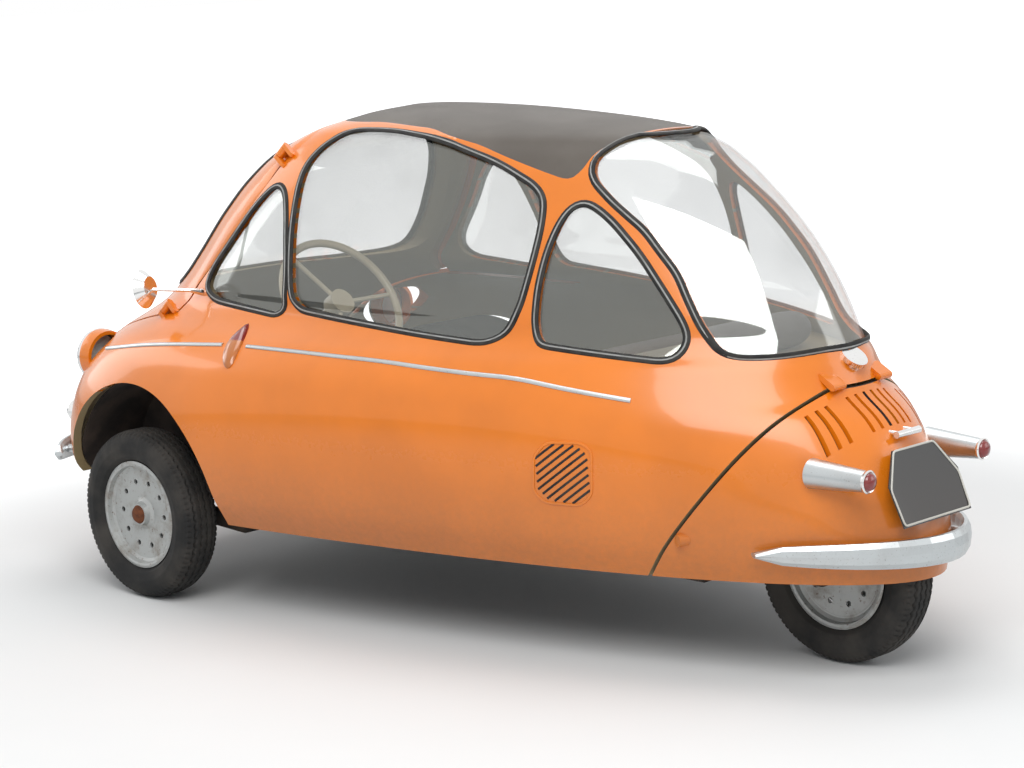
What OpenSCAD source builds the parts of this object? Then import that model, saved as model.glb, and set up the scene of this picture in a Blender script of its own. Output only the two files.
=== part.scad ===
// Three-wheeled bubble car of the 1950s: one swing-up front door, a perspex rear dome, a fabric
// sunroof and a lift-up tail.  X points forward, Y to the car's left, Z up; the ground is Z = 0.

/* [Body] */
// Length of the painted body, nose to tail
body_length = 2496; // [2200:1:2900]
// Greatest width of the body
body_width = 1372; // [1200:1:1550]
// Height of the body from its sill to the crown of the roof
body_height = 1002; // [850:1:1150]
// Height of the sill's lower edge above the ground
sill_z = 230; // [200:1:270]
// Thickness of the body wall
wall = 20; // [14:1:30]
// Thickness of the whole front door
door_wall = 32; // [24:1:45]
// Thickness of the tail lid
lid_wall = 12; // [10:1:24]
// Thickness of the fabric roof with its lining
roof_wall = 12; // [8:1:20]
// Thickness of the window panes
glass_t = 5; // [4:1:8]
// Depth of the glass below the outer skin
glass_set = 5; // [3:1:9]
// Running gap round the front door
door_gap = 9; // [5:0.5:9]
// Running gap round the tail lid
lid_gap = 7; // [5:0.5:9]

/* [Running gear] */
// Distance between the front axle and the rear axle
wheelbase = 1760; // [1650:1:1900]
// X of the front axle
front_axle_x = 790; // [760:1:820]
// Distance between the middles of the front tyres
track = 1220; // [1160:1:1260]
// Outer radius of the tyres
tyre_r = 218; // [210:1:226]
// Width of the tyres
tyre_w = 112; // [96:1:124]
// Radius over the rim's flanges
flange_r = 139; // [134:1:144]
// Width over the rim's flanges
rim_w = 88; // [80:1:96]
// Distance from the middle of a front tyre to its kingpin
kingpin_in = 74; // [66:1:90]
// Radius of the kingpins
kingpin_r = 9; // [7:0.5:12]
// Radius of the stub axles
stub_r = 12; // [10:0.5:15]
// Radius of the front wheel arches
arch_r = 302; // [285:1:315]
// Inner wall of the front wheelhouses, from the centre plane
wheelhouse_y = 424; // [400:1:440]

/* [Cabin] */
// Radius of the steering wheel
steering_r = 172; // [160:1:190]
// Radius of the steering wheel's rim section
steering_rim_r = 10; // [8:1:14]
// Steering column's lean above the horizontal
column_lean = 35; // [25:1:50]
// Width of the bench seat
seat_w = 800; // [700:1:860]
// Depth of the seat cushion
seat_d = 480; // [420:1:520]
// Thickness of the seat cushion
seat_t = 110; // [80:1:140]

/* [Fittings] */
// Radius of the headlamp's chrome rim
headlamp_r = 66; // [56:1:76]
// Radius of the small front lamps
front_lamp_r = 29; // [22:1:36]
// Radius of a tail lamp's base
tail_lamp_r = 31; // [24:1:38]
// Height of the rear bumper's blade
bumper_h = 68; // [50:1:90]
// Radius of the filler cap
cap_r = 33; // [26:1:40]
// Radius of the door hinge pins
hinge_pin_r = 6; // [4:0.5:9]

/* [Hidden] */

eps = 0.01;
fit_gap = 0.3;
base_length = 2496;
base_width = 1372;
base_height = 1002;
base_sill = 230;
kx = body_length / base_length;
ky = body_width / base_width;
kz = body_height / base_height;
rear_axle_x = front_axle_x - wheelbase;
track_y = track / 2;
kingpin_y = track_y - kingpin_in;

// Plan sections of the body at rising heights, in the body's own proportions.
// Columns: height, x of nose, x of tail, half width, x of greatest width,
// squareness towards the nose, squareness towards the tail.
LEVELS = [
    [ 230, 1145, -1215, 622, 520, 7.5, 1.25],
    [ 300, 1232, -1222, 664, 560, 7.5, 1.30],
    [ 380, 1262, -1204, 682, 590, 6.5, 1.36],
    [ 450, 1266, -1178, 686, 600, 5.6, 1.42],
    [ 520, 1260, -1140, 680, 580, 5.0, 1.52],
    [ 580, 1242, -1095, 664, 540, 4.6, 1.60],
    [ 630, 1210, -1035, 640, 480, 4.4, 1.68],
    [ 665, 1176, -1012, 608, 420, 4.3, 1.70],
    [ 695, 1140, -1000, 567, 350, 4.3, 1.72],
    [ 720, 1112,  -988, 525, 290, 4.5, 1.73],
    [ 745, 1085,  -980, 492, 240, 5.0, 1.72],
    [ 800, 1030,  -955, 477, 220, 5.0, 1.70],
    [ 870,  965,  -915, 461, 200, 5.0, 1.66],
    [ 975,  870,  -835, 428, 200, 5.0, 1.64],
    [1060,  775,  -745, 393, 200, 5.0, 1.64],
    [1120,  690,  -672, 363, 210, 4.6, 1.64],
    [1165,  600,  -595, 328, 230, 4.2, 1.66],
    [1192,  520,  -500, 296, 250, 3.6, 1.68],
    [1208,  465,  -330, 250, 270, 3.0, 1.75],
    [1222,  420,   -60, 180, 290, 2.4, 2.0],
    [1232,  370,   200,  70, 300, 2.0, 2.0]
];
TOP = len(LEVELS) - 1;
crown_x = 300;
crown_z = 1233;

// Outlines in side view: [x, height], in the body's own proportions.
SIDE_GLASS = [[350, 766], [-100, 738], [-305, 728], [-350, 800], [-365, 900], [-366, 1000],
              [-344, 1072], [-200, 1132], [0, 1180], [160, 1194], [320, 1191], [408, 1110], [395, 985]];
QUARTER_GLASS = [[-398, 735], [-738, 708], [-746, 770], [-681, 855], [-607, 939], [-519, 1014],
                 [-450, 1052], [-412, 1028], [-394, 950], [-389, 840]];
FRONT_QUARTER = [[372, 744], [655, 762], [698, 786], [692, 830], [613, 925], [548, 1010],
                 [490, 1058], [447, 1044], [418, 985], [384, 870]];
DOME_EDGE = [[-478, 1195], [-445, 1176], [-424, 1137], [-446, 1096], [-503, 1053], [-602, 988],
             [-695, 897], [-735, 831], [-775, 768], [-812, 729], [-850, 716], [-920, 716],
             [-1010, 731]];
ROOF_EDGE = [[430, 1204], [231, 1208], [51, 1199], [-129, 1167], [-287, 1123], [-397, 1093],
             [-416, 1120], [-418, 1145], [-433, 1170], [-468, 1197]];
// Outlines in front view: [y, height].
DOOR_HALF = [[0, 262], [210, 264], [290, 296], [350, 380], [402, 480], [448, 590], [484, 680],
             [491, 722], [452, 774], [422, 921], [388, 1030], [346, 1111], [309, 1160],
             [240, 1190], [120, 1200], [0, 1203]];
SCREEN_HALF = [[0, 762], [280, 764], [392, 778], [396, 830], [378, 921], [345, 1020],
               [296, 1095], [240, 1136], [140, 1152], [0, 1156]];
// The seam of the tail lid in side view, upper end and lower end.
LID_TOP = [-1008, 641];
LID_FOOT = [-708, 228];
// How far back the front door's opening may reach, in side view; its seam lies ahead of this.
DOOR_BACK = [[445, 1400], [447, 1196], [455, 1165], [500, 1113], [558, 1030], [640, 921], [700, 845],
             [765, 774], [786, 735], [790, 718], [812, 700], [812, 150], [1500, 150], [1500, 1400]];
corner_r = 16;
door_lip = 5;
door_step = 15;
arch_x = front_axle_x - 20;
arch_z = 262;
nose_lip_z = 292;

// ---- the body's surface ----------------------------------------------------------------
function level_slope(i, c) =
    i == 0 ? (LEVELS[1][c] - LEVELS[0][c]) / (LEVELS[1][0] - LEVELS[0][0]) :
    i == TOP ? (LEVELS[TOP][c] - LEVELS[TOP - 1][c]) / (LEVELS[TOP][0] - LEVELS[TOP - 1][0]) :
    let (below = LEVELS[i][0] - LEVELS[i - 1][0], above = LEVELS[i + 1][0] - LEVELS[i][0])
    ((LEVELS[i][c] - LEVELS[i - 1][c]) / below * above
     + (LEVELS[i + 1][c] - LEVELS[i][c]) / above * below) / (below + above);

function level_below(z, i = 0) = i >= TOP - 1 || LEVELS[i + 1][0] > z ? i : level_below(z, i + 1);

// Column c at height z, on the smooth curve through the table.
function column(z, c) =
    let (zc = min(max(z, LEVELS[0][0]), LEVELS[TOP][0]), i = level_below(zc),
         h = LEVELS[i + 1][0] - LEVELS[i][0], t = (zc - LEVELS[i][0]) / h)
    (2 * t * t * t - 3 * t * t + 1) * LEVELS[i][c] + (t * t * t - 2 * t * t + t) * h * level_slope(i, c)
    + (3 * t * t - 2 * t * t * t) * LEVELS[i + 1][c] + (t * t * t - t * t) * h * level_slope(i + 1, c);

function real_x(x) = kx * x;
function real_y(y) = ky * y;
function real_z(z) = sill_z + kz * (z - base_sill);
function real_xz(points) = [for (p = points) [real_x(p[0]), real_z(p[1])]];
function real_yz(points) = [for (p = points) [real_y(p[0]), real_z(p[1])]];

// How much a point at height z belongs to the roof: 0 on the sides, 1 at the crown.
function roofness(z) = let (t = min(max((z - 1050) / 182, 0), 1)) t * t * (3 - 2 * t);

// One closed ring of the surface at height z, moved inwards by depth.
function ring(z, depth, n) =
    let (side = depth * (1 - 0.55 * roofness(z)), down = depth * roofness(z),
         xf = column(z, 1), xr = column(z, 2), w = column(z, 3), xw = column(z, 4),
         pf = column(z, 5), pr = column(z, 6))
    [for (i = [0 : n - 1])
        let (a = 360 * i / n, ca = cos(a), sa = sin(a), far = ca >= 0 ? xf - xw : xw - xr,
             x = xw + sign(ca) * (kx * far - side) / kx * pow(abs(ca), 2 / (ca >= 0 ? pf : pr)))
        [real_x(x), (ky * w - side) * sa, real_z(z) - down]];

// Half width of the outer surface at a place given in real millimetres.
function skin_y(x, z) =
    let (h = base_sill + (z - sill_z) / kz, q = x / kx, xf = column(h, 1), xr = column(h, 2),
         xw = column(h, 4), s = q > xw ? (q - xw) / (xf - xw) : (xw - q) / (xw - xr),
         p = q > xw ? column(h, 5) : column(h, 6))
    ky * column(h, 3) * sqrt(max(0, 1 - pow(min(s, 1), p)));

// x of the outer surface on the centre plane, at the tail, at a real height.
function tail_x(z) = real_x(column(base_sill + (z - sill_z) / kz, 2));
function nose_x(z) = real_x(column(base_sill + (z - sill_z) / kz, 1));

// x of the outer surface at a place in front view, on the nose or on the tail.
function skin_x(y, z, end) =
    let (h = base_sill + (z - sill_z) / kz, xw = column(h, 4), xe = column(h, end > 0 ? 1 : 2),
         p = column(h, end > 0 ? 5 : 6), s = min(1, abs(y) / (ky * column(h, 3))))
    real_x(xw + (xe - xw) * pow(1 - s * s, 1 / p));

// A closed solid from rings that hold the same number of points.
module loft(rings) {
    n = len(rings[0]);
    m = len(rings);
    polyhedron(
        points = [for (r = rings) for (p = r) p],
        faces = concat(
            [for (j = [0 : m - 2]) for (i = [0 : n - 1])
                [j * n + i, j * n + (i + 1) % n, (j + 1) * n + (i + 1) % n, (j + 1) * n + i]],
            [[for (i = [n - 1 : -1 : 0]) i]],
            [[for (i = [0 : n - 1]) (m - 1) * n + i]]));
}

SKIN_N = 48;
SKIN_Z = [230, 262, 300, 340, 380, 415, 450, 485, 520, 550, 580, 605, 630, 648, 665, 680, 695,
          708, 720, 732, 745, 770, 800, 835, 870, 920, 975, 1020, 1060, 1092, 1120, 1145, 1165,
          1180, 1192, 1201, 1208, 1216, 1222, 1228, 1232];

// The solid inside the surface that lies depth under the outer skin; below the sill it goes
// straight down to the height foot.
module inside(depth, foot = base_sill) {
    low = ring(SKIN_Z[0], depth, SKIN_N);
    foot_ring = [for (p = low) [p[0], p[1], real_z(foot)]];
    rings = [for (z = SKIN_Z) [for (p = ring(z, depth, SKIN_N)) [p[0], p[1], -p[2]]]];
    all_rings = foot < base_sill ?
        concat([[for (p = foot_ring) [p[0], p[1], -p[2]]]], rings) : rings;
    mirror([0, 0, 1]) loft(all_rings);
}

module skin_layer(outer, inner) {
    difference() {
        inside(outer);
        inside(inner, base_sill - 30);
    }
}

// Seats its children on the outer skin: whatever reaches into the body is cut away.
module on_skin() {
    difference() {
        children();
        inside(-fit_gap, base_sill - 60);
    }
}

// ---- outlines --------------------------------------------------------------------------
function middle(points) = [for (c = [0, 1]) let (v = [for (p = points) p[c]])
    (min(v) + max(v)) / 2];

// A rounded outline that may be hollow between its corners, grown by r beyond them.
module outline(points, r) {
    centre = middle(points);
    n = len(points);
    for (i = [0 : n - 1])
        hull() {
            translate(centre) circle(1, $fn = 8);
            translate(points[i]) circle(r, $fn = 16);
            translate(points[(i + 1) % n]) circle(r, $fn = 16);
        }
}

// Cuts along Y a side-view outline, on both sides or on one.
module along_y(from_y, to_y) {
    translate([0, to_y, 0]) rotate([90, 0, 0]) linear_extrude(to_y - from_y) children();
}

// Cuts along X a front-view outline drawn as [y, z].
module along_x(from_x, to_x) {
    translate([from_x, 0, 0]) rotate([90, 0, 90]) linear_extrude(to_x - from_x) children();
}

function inset(points, by) = let (c = middle(points))
    [for (p = points) let (d = p - c) c + d * (1 - by / norm(d))];

module side_opening(points) {
    along_y(-800, 800) outline(inset(real_xz(points), corner_r), corner_r);
}

function both_halves(points) = concat(points,
    [for (i = [len(points) - 2 : -1 : 1]) [-points[i][0], points[i][1]]]);

module door_outline(grow) {
    outline(inset(real_yz(both_halves(DOOR_HALF)), corner_r), corner_r + grow);
}

module door_region(grow) {
    intersection() {
        along_x(200, 1500) door_outline(grow);
        along_y(-800, 800) translate([-grow, 0]) polygon(real_xz(DOOR_BACK));
    }
}

module screen_outline() {
    outline(inset(real_yz(both_halves(SCREEN_HALF)), corner_r * 2), corner_r * 2);
}

// Everything behind the dome's front seal and above its lower seal.
module dome_region() {
    edge = real_xz(DOME_EDGE);
    along_y(-800, 800) polygon(concat(edge, [[real_x(-1300), real_z(760)],
        [real_x(-1300), real_z(1400)], [real_x(-478), real_z(1400)]]));
}

module roof_region() {
    edge = real_xz(ROOF_EDGE);
    along_y(-800, 800) polygon(concat(edge, [[real_x(-468), real_z(1400)],
        [real_x(430), real_z(1400)]]));
}

// Everything behind the tail lid's seam, less a gap.
module lid_region(gap) {
    a = [real_x(LID_TOP[0]), real_z(LID_TOP[1])];
    b = [real_x(LID_FOOT[0]), real_z(LID_FOOT[1])];
    n = [-(a - b)[1], (a - b)[0]] / norm(a - b);
    shift = n[0] < 0 ? n * gap : -n * gap;
    along_y(-800, 800) polygon([a + shift + [0, -gap / 2], b + shift + (b - a) * 0.2,
        [real_x(-1500), b[1] - 120], [real_x(-1500), a[1] - gap / 2]]);
}

module arch_cut(side) {
    scale([1, side, 1]) {
        along_y(wheelhouse_y, 800) hull() {
            translate([arch_x, arch_z]) circle(arch_r, $fn = 64);
            translate([arch_x, arch_z - 200]) square([2 * arch_r - 14, 10], center = true);
        }
    }
}

// ---- painted panels --------------------------------------------------------------------
module body_shell() {
    color("darkorange")
    difference() {
        skin_layer(0, wall);
        side_opening(SIDE_GLASS);
        side_opening(QUARTER_GLASS);
        side_opening(FRONT_QUARTER);
        dome_region();
        roof_region();
        lid_region(-lid_gap);
        door_region(door_gap);
        for (side = [-1, 1]) arch_cut(side);
        for (side = [-1, 1]) headlamp_place(side)
            cylinder(h = 240, r = headlamp_bowl_r + 2 * fit_gap, $fn = 40, center = true);
        nose_trim();
    }
}

// The nose's lower edge rises ahead of the front wheels.
module nose_trim() {
    along_y(-800, 800) polygon([[arch_x + arch_r - 30, real_z(nose_lip_z)],
        [real_x(1400), real_z(nose_lip_z - 26)], [real_x(1400), 0], [arch_x + arch_r - 30, 0]]);
}

// The door has a thin lip outside and a smaller body behind it, so that it swings out past the pillar.
module front_door() {
    color("darkorange")
    difference() {
        union() {
            intersection() {
                skin_layer(0, door_lip + 1);
                door_region(0);
            }
            intersection() {
                skin_layer(door_lip, door_wall);
                door_region(-door_step);
            }
        }
        along_x(200, 1500) screen_outline();
    }
}

module windscreen() {
    color([0.8, 0.9, 0.95, 0.4])
    intersection() {
        skin_layer(glass_set, glass_set + glass_t);
        along_x(200, 1500) screen_outline();
    }
}

module rear_lid() {
    color("darkorange") {
        lid_panel();
        for (side = [-1, 1]) lid_lug(side * (lid_hinge_y + (lid_barrel + lid_lug_w) / 2));
    }
}

// The lid's own half of a hinge: an eye beside the fixed barrel and a strap down the panel.
module lid_lug(y) {
    hull() {
        translate([lid_hinge[0], y, lid_hinge[1]]) rotate([90, 0, 0])
            cylinder(h = lid_lug_w - 2 * fit_gap, r = lid_hinge_r, $fn = 20, center = true);
        translate([real_x(-1060), y, real_z(588)]) rotate([90, 0, 0])
            cylinder(h = lid_lug_w - 2 * fit_gap, r = 4, $fn = 12, center = true);
    }
}

module lid_panel() {
    difference() {
        intersection() {
            skin_layer(0, lid_wall);
            lid_region(0);
        }
        // Cooling slots beside and between the hinges
        for (i = [0 : 5]) slot_cut((i - 2.5) * 27 * ky);
        for (side = [-1, 1]) for (i = [0 : 2]) slot_cut(side * (128 + 25 * i) * ky);
    }
}

// One upright slot through the lid's upper slope, at y.
module slot_cut(y) {
    hull() {
        translate([real_x(-1045), y, real_z(640)]) rotate([0, -45, 0]) cylinder(h = 160, r = 4.5, $fn = 10, center = true);
        translate([real_x(-1110), y, real_z(560)]) rotate([0, -45, 0]) cylinder(h = 160, r = 4.5, $fn = 10, center = true);
    }
}

module fabric_roof() {
    color("dimgray")
    intersection() {
        skin_layer(0, roof_wall);
        roof_region();
        outline_block();
    }
}

// A block wider than the roof; its rounded corners stay outside the cloth.
module outline_block() {
    along_y(-700, 700) outline([[real_x(-700), real_z(1000)], [real_x(700), real_z(1000)],
        [real_x(800), real_z(1150)], [real_x(700), real_z(1350)], [0, real_z(1400)],
        [real_x(-700), real_z(1350)], [real_x(-800), real_z(1200)], [real_x(-780), real_z(1100)]], 10);
}

module rear_dome() {
    color([0.85, 0.9, 0.92, 0.35])
    intersection() {
        skin_layer(glass_set, glass_set + glass_t);
        dome_region();
        along_y(-700, 700) outline([[real_x(-1200), real_z(650)], [real_x(-300), real_z(650)],
            [real_x(-280), real_z(900)], [real_x(-300), real_z(1350)], [real_x(-700), real_z(1400)],
            [real_x(-1200), real_z(1350)], [real_x(-1250), real_z(1000)], [real_x(-1240), real_z(800)]], 10);
    }
}

module pane(points) {
    intersection() {
        skin_layer(glass_set, glass_set + glass_t);
        side_opening(points);
    }
}

module side_windows() {
    color([0.8, 0.9, 0.95, 0.4]) pane(SIDE_GLASS);
}

module rear_quarter_windows() {
    color([0.8, 0.9, 0.95, 0.4]) pane(QUARTER_GLASS);
}

module front_quarter_windows() {
    color([0.8, 0.9, 0.95, 0.4]) pane(FRONT_QUARTER);
}

// ---- floor, frame and inner panels ------------------------------------------------------
floor_t = 4;
floor_z = sill_z + 8;
bulkhead_x = real_x(-455);
shelf_z = real_z(668);
rail_z = floor_z - 20 - fit_gap;
rail_y = 230;
rail_back = rear_axle_x + 208;
rail_front = front_axle_x + 25;

// Plan outline of the cabin's inside at height z, in the body's own proportions.
function plan(z, depth, n = 48) = [for (p = ring(z, depth, n)) [p[0], p[1]]];

// The seat stands on a box open to the floor below it.
module seat_box() {
    high = 110 - floor_t - fit_gap;
    translate([bulkhead_x + 26, -seat_w / 2 + 30, floor_z + floor_t]) difference() {
        cube([seat_d - 44, seat_w - 60, high]);
        translate([3, 3, -eps]) cube([seat_d - 50, seat_w - 66, high - 3]);
    }
}

module floor_pan() {
    color("tan") seat_box();
    color("tan")
    translate([0, 0, floor_z]) linear_extrude(floor_t) difference() {
        intersection() {
            polygon(plan(base_sill + 8, wall + fit_gap));
            translate([bulkhead_x, -800]) square([1600, 1600]);
        }
        for (side = [-1, 1])
            translate([arch_x - arch_r, side > 0 ? wheelhouse_y : -1000 - wheelhouse_y])
                square([2 * arch_r + 300, 1000]);
        translate([real_x(1080), -800]) square([400, 1600]);
    }
}

module chassis_frame() {
    color("black") {
        for (side = [-1, 1]) {
            translate([rail_back, side * rail_y - 20, rail_z - 20]) cube([rail_front - rail_back, 40, 40]);
            // The pad for a jack
            translate([60, side * rail_y - 16, rail_z - 28]) cube([80, 32, 9]);
        }
        for (x = [bulkhead_x - 60, -60, front_axle_x - 190])
            translate([x, -rail_y + 20, rail_z - 20]) cube([40, 2 * rail_y - 40, 40]);
    }
}

// Each wheelhouse is an arched wall over the wheel and a flat wall beside the footwell.
module front_wheelhouses() {
    foot = floor_z + floor_t + fit_gap;
    color("sienna")
    for (side = [-1, 1])
        intersection() {
            inside(wall + fit_gap);
            translate([0, side > 0 ? 0 : -2 * wheelhouse_y - 196, 0]) {
                along_y(wheelhouse_y + (side > 0 ? -4 : 0), wheelhouse_y + (side > 0 ? 196 : 200))
                    arch_profile(foot) circle(arch_r + 1, $fn = 64);
                along_y(wheelhouse_y + (side > 0 ? -4 : 196), wheelhouse_y + (side > 0 ? 0 : 200))
                    arch_profile(foot);
            }
        }
}

// The side view of a wheelhouse above the floor, less its children.
module arch_profile(foot) {
    difference() {
        translate([arch_x, arch_z]) circle(arch_r + 5, $fn = 64);
        translate([arch_x - 500, arch_z - 1000]) square([1000, 1000 + foot - arch_z]);
        translate([arch_x, arch_z]) children();
    }
}

module rear_bulkhead() {
    color("tan") {
        heights = [for (z = [floor_z + floor_t : 30 : shelf_z - 4]) z];
        rim = concat(heights, [shelf_z - 3]);
        along_x(bulkhead_x, bulkhead_x + 6) polygon(concat(
            [for (z = rim) [skin_y(bulkhead_x, z) - wall - 5, z]],
            [for (i = [len(rim) - 1 : -1 : 0]) [-skin_y(bulkhead_x, rim[i]) + wall + 5, rim[i]]]));
        translate([0, 0, shelf_z]) linear_extrude(6) difference() {
            intersection() {
                polygon(plan(676, wall + 3));
                translate([real_x(-960), -800]) square([bulkhead_x + 6 - real_x(-960), 1600]);
            }
        }
    }
}

// ---- door gear ---------------------------------------------------------------------------
hinge_low = [real_x(827), real_y(496), real_z(730)];
hinge_high = [real_x(506), real_y(353), real_z(1133)];
hinge_axis = (hinge_high - hinge_low) / norm(hinge_high - hinge_low);
hinge_tilt = acos(hinge_axis[2]);
hinge_turn = atan2(hinge_axis[1], hinge_axis[0]);
hinge_r = 10;

module hinge_place(p) {
    translate(p) rotate([0, hinge_tilt, hinge_turn]) children();
}

// A hinge knuckle with its foot: the foot leaves the pin at angle a in the hinge's own plane.
module hinge_lobe(h, a) {
    hull() {
        cylinder(h = h, r = hinge_r, center = true, $fn = 32);
        rotate([0, 0, a]) translate([30, 0, 0]) cylinder(h = h, r = 8, center = true, $fn = 32);
    }
}

// The half of each hinge on the pillar: two knuckles joined by the pin.
module door_hinge_brackets() {
    color("darkorange")
    for (p = [hinge_low, hinge_high])
        on_skin() hinge_place(p) {
            cylinder(h = 46, r = hinge_pin_r, center = true);
            for (s = [-1, 1]) translate([0, 0, s * 18]) hinge_lobe(10, -26);
        }
}

// The half on the door: one knuckle between the other two.
module door_hinge_arms() {
    color("darkorange")
    for (p = [hinge_low, hinge_high])
        on_skin() hinge_place(p) difference() {
            hinge_lobe(24, 70);
            cylinder(h = 30, r = hinge_pin_r + fit_gap, center = true);
        }
}

handle_y = real_y(-340);
handle_z = real_z(600);

module door_handle() {
    color("silver")
    on_skin() translate([skin_x(handle_y, handle_z, 1), handle_y, handle_z]) {
        translate([-20, 0, 0]) rotate([0, 90, 0]) cylinder(h = 50, r = 9);
        translate([28, 0, 0]) rotate([90, 0, 0]) cylinder(h = 90, r = 7, center = true);
    }
}

function wiper_point(y, z, off) = [skin_x(y, z, 1) + off, y, z];

module wiper() {
    foot = wiper_point(real_y(40), real_z(745), 8);
    bend = wiper_point(real_y(60), real_z(800), 14);
    tip = wiper_point(real_y(160), real_z(975), 8);
    color("black") {
        hull() for (p = [foot, bend]) translate(p) sphere(5, $fn = 12);
        hull() for (p = [bend, tip]) translate(p) sphere(4, $fn = 12);
    }
}

// ---- lid gear ----------------------------------------------------------------------------
lid_hinge = [real_x(-1019), real_z(650)];
lid_hinge_y = real_y(85);
lid_hinge_r = 8;
lid_pin_r = 4.5;
lid_barrel = 44;
lid_lug_w = 14;

// Each fixed barrel stands on the shell; its pin shows at the inner end.
module lid_hinges() {
    color("darkorange")
    for (side = [-1, 1]) {
        translate([lid_hinge[0], side * (lid_hinge_y - 3), lid_hinge[1]]) rotate([90, 0, 0])
            cylinder(h = lid_barrel, r = lid_pin_r, center = true);
        on_skin() hull() {
            translate([lid_hinge[0], side * lid_hinge_y, lid_hinge[1]]) rotate([90, 0, 0])
                cylinder(h = lid_barrel, r = lid_hinge_r, center = true, $fn = 32);
            translate([real_x(-985), side * lid_hinge_y, real_z(672)]) rotate([90, 0, 0])
                cylinder(h = lid_barrel, r = 6, center = true, $fn = 32);
        }
    }
}

module lid_handle() {
    color("silver")
    on_skin() translate([tail_x(real_z(548)), 0, real_z(548)]) {
        for (s = [-1, 1]) translate([20, s * 26, 0]) rotate([0, -90, 0]) cylinder(h = 44, r = 6);
        translate([-24, 0, 0]) rotate([90, 0, 0]) cylinder(h = 84, r = 8, center = true);
    }
}

module lid_latches() {
    color("darkorange")
    for (side = [-1, 1])
        on_skin() translate([real_x(-800), side * skin_y(real_x(-800), real_z(325)), real_z(325)])
            rotate([90, 0, side * -22]) cylinder(h = 26, r = 14, center = true);
}

// ---- lamps and fittings --------------------------------------------------------------------
module headlamp_place(side) {
    translate([real_x(1088), side * real_y(522), real_z(588)]) rotate([0, 90, 0]) children();
}

headlamp_bowl_r = headlamp_r - 6;

module headlamps() {
    color("whitesmoke")
    for (side = [-1, 1]) headlamp_place(side) {
        translate([0, 0, -85]) cylinder(h = 35, r1 = headlamp_r - 30, r2 = headlamp_bowl_r);
        translate([0, 0, -50]) cylinder(h = 50, r = headlamp_bowl_r);
        cylinder(h = 15, r1 = headlamp_bowl_r, r2 = headlamp_r - 22);
    }
}

module front_lamp_place(side) {
    translate([skin_x(real_y(545), real_z(432), 1), side * real_y(545), real_z(432)])
        rotate([0, 90, side * 14]) children();
}

module front_lamps() {
    color("silver")
    for (side = [-1, 1]) on_skin() front_lamp_place(side) {
        translate([0, 0, -24]) cylinder(h = 40, r = front_lamp_r);
        translate([0, 0, 16]) cylinder(h = 16, r1 = front_lamp_r - 4, r2 = front_lamp_r - 13);
    }
}

module side_indicators() {
    color("orange")
    for (side = [-1, 1])
        on_skin() translate([real_x(442), side * real_y(586), real_z(669)])
            rotate([side * -48, 0, 0]) cylinder(h = 34, r1 = 24, r2 = 12);
}

tail_lamp = [real_x(-1195), real_y(214), real_z(480)];

module tail_lamp_place(side) {
    translate([tail_lamp[0], side * tail_lamp[1], tail_lamp[2]]) rotate([0, -90, 0]) children();
}

module tail_lamps() {
    color("silver")
    for (side = [-1, 1]) on_skin() tail_lamp_place(side) {
        translate([0, 0, -150]) cylinder(h = 150, r1 = tail_lamp_r + 3, r2 = tail_lamp_r - 8);
        cylinder(h = 12, r1 = tail_lamp_r - 9, r2 = tail_lamp_r - 18);
    }
}

// A blade that follows the body at height z, off the skin by off, between two plan angles.
function blade_ring(a, z, off, thick, high) =
    let (h = base_sill + (z - sill_z) / kz, xf = column(h, 1), xr = column(h, 2), w = column(h, 3),
         xw = column(h, 4), ca = cos(a), sa = sin(a), far = ca >= 0 ? xf - xw : xw - xr,
         p = ca >= 0 ? column(h, 5) : column(h, 6))
    [for (k = [0 : 9])
        let (t = 360 * k / 10, o = off + thick * (1 + cos(t)) / 2)
        [real_x(xw) + sign(ca) * (kx * far + o) * pow(abs(ca), 2 / p), (ky * w + o) * sa,
         z + high / 2 * sin(t)]];

module blade(a0, a1, steps, z, off, thick, high) {
    loft([for (i = [0 : steps])
        let (t = i / steps, e = pow(sin(180 * t), 0.25))
        blade_ring(a0 + (a1 - a0) * t, z, off, thick, max(high * e, 12))]);
}

// A round stay from the skin out to a bumper.
module stay(x, y, z, dx, dy) {
    hull() {
        translate([x, y, z]) sphere(11, $fn = 16);
        translate([x + dx, y + dy, z]) sphere(11, $fn = 16);
    }
}

module front_bumpers() {
    z = real_z(335);
    color("silver")
    for (side = [-1, 1]) scale([1, side, 1]) {
        blade(26, 66, 14, z, 24, 18, 62);
        on_skin() for (y = [real_y(360), real_y(560)])
            stay(skin_x(y, z, 1) - 20, y, z, 46, 24 * y / real_y(560));
    }
}

module rear_bumper() {
    z = real_z(305);
    color("silver") {
        blade(153, 207, 20, z, 22, 28, bumper_h);
        on_skin() for (y = [real_y(-130), real_y(130)]) stay(skin_x(y, z, -1) + 20, y, z, -48, 0);
    }
}

plate_lean = 23.5;

module number_plate() {
    color("black")
    on_skin() translate([tail_x(real_z(441)) - 8, 0, real_z(441)]) rotate([0, plate_lean, 0]) rotate([90, 0, -90]) {
        linear_extrude(3) polygon([[-125, -85], [125, -85], [129, 12], [77, 85], [-77, 85], [-129, 12]]);
        for (s = [-1, 1]) translate([s * 60, 0, -38]) cylinder(h = 40, r = 8);
    }
}

module filler_cap() {
    color("silver")
    on_skin() translate([real_x(-978), 0, real_z(676)]) rotate([0, -38, 0]) {
        translate([0, 0, -20]) cylinder(h = 48, r = cap_r - 6);
        translate([0, 0, 28]) cylinder(h = 12, r = cap_r);
    }
}

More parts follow.
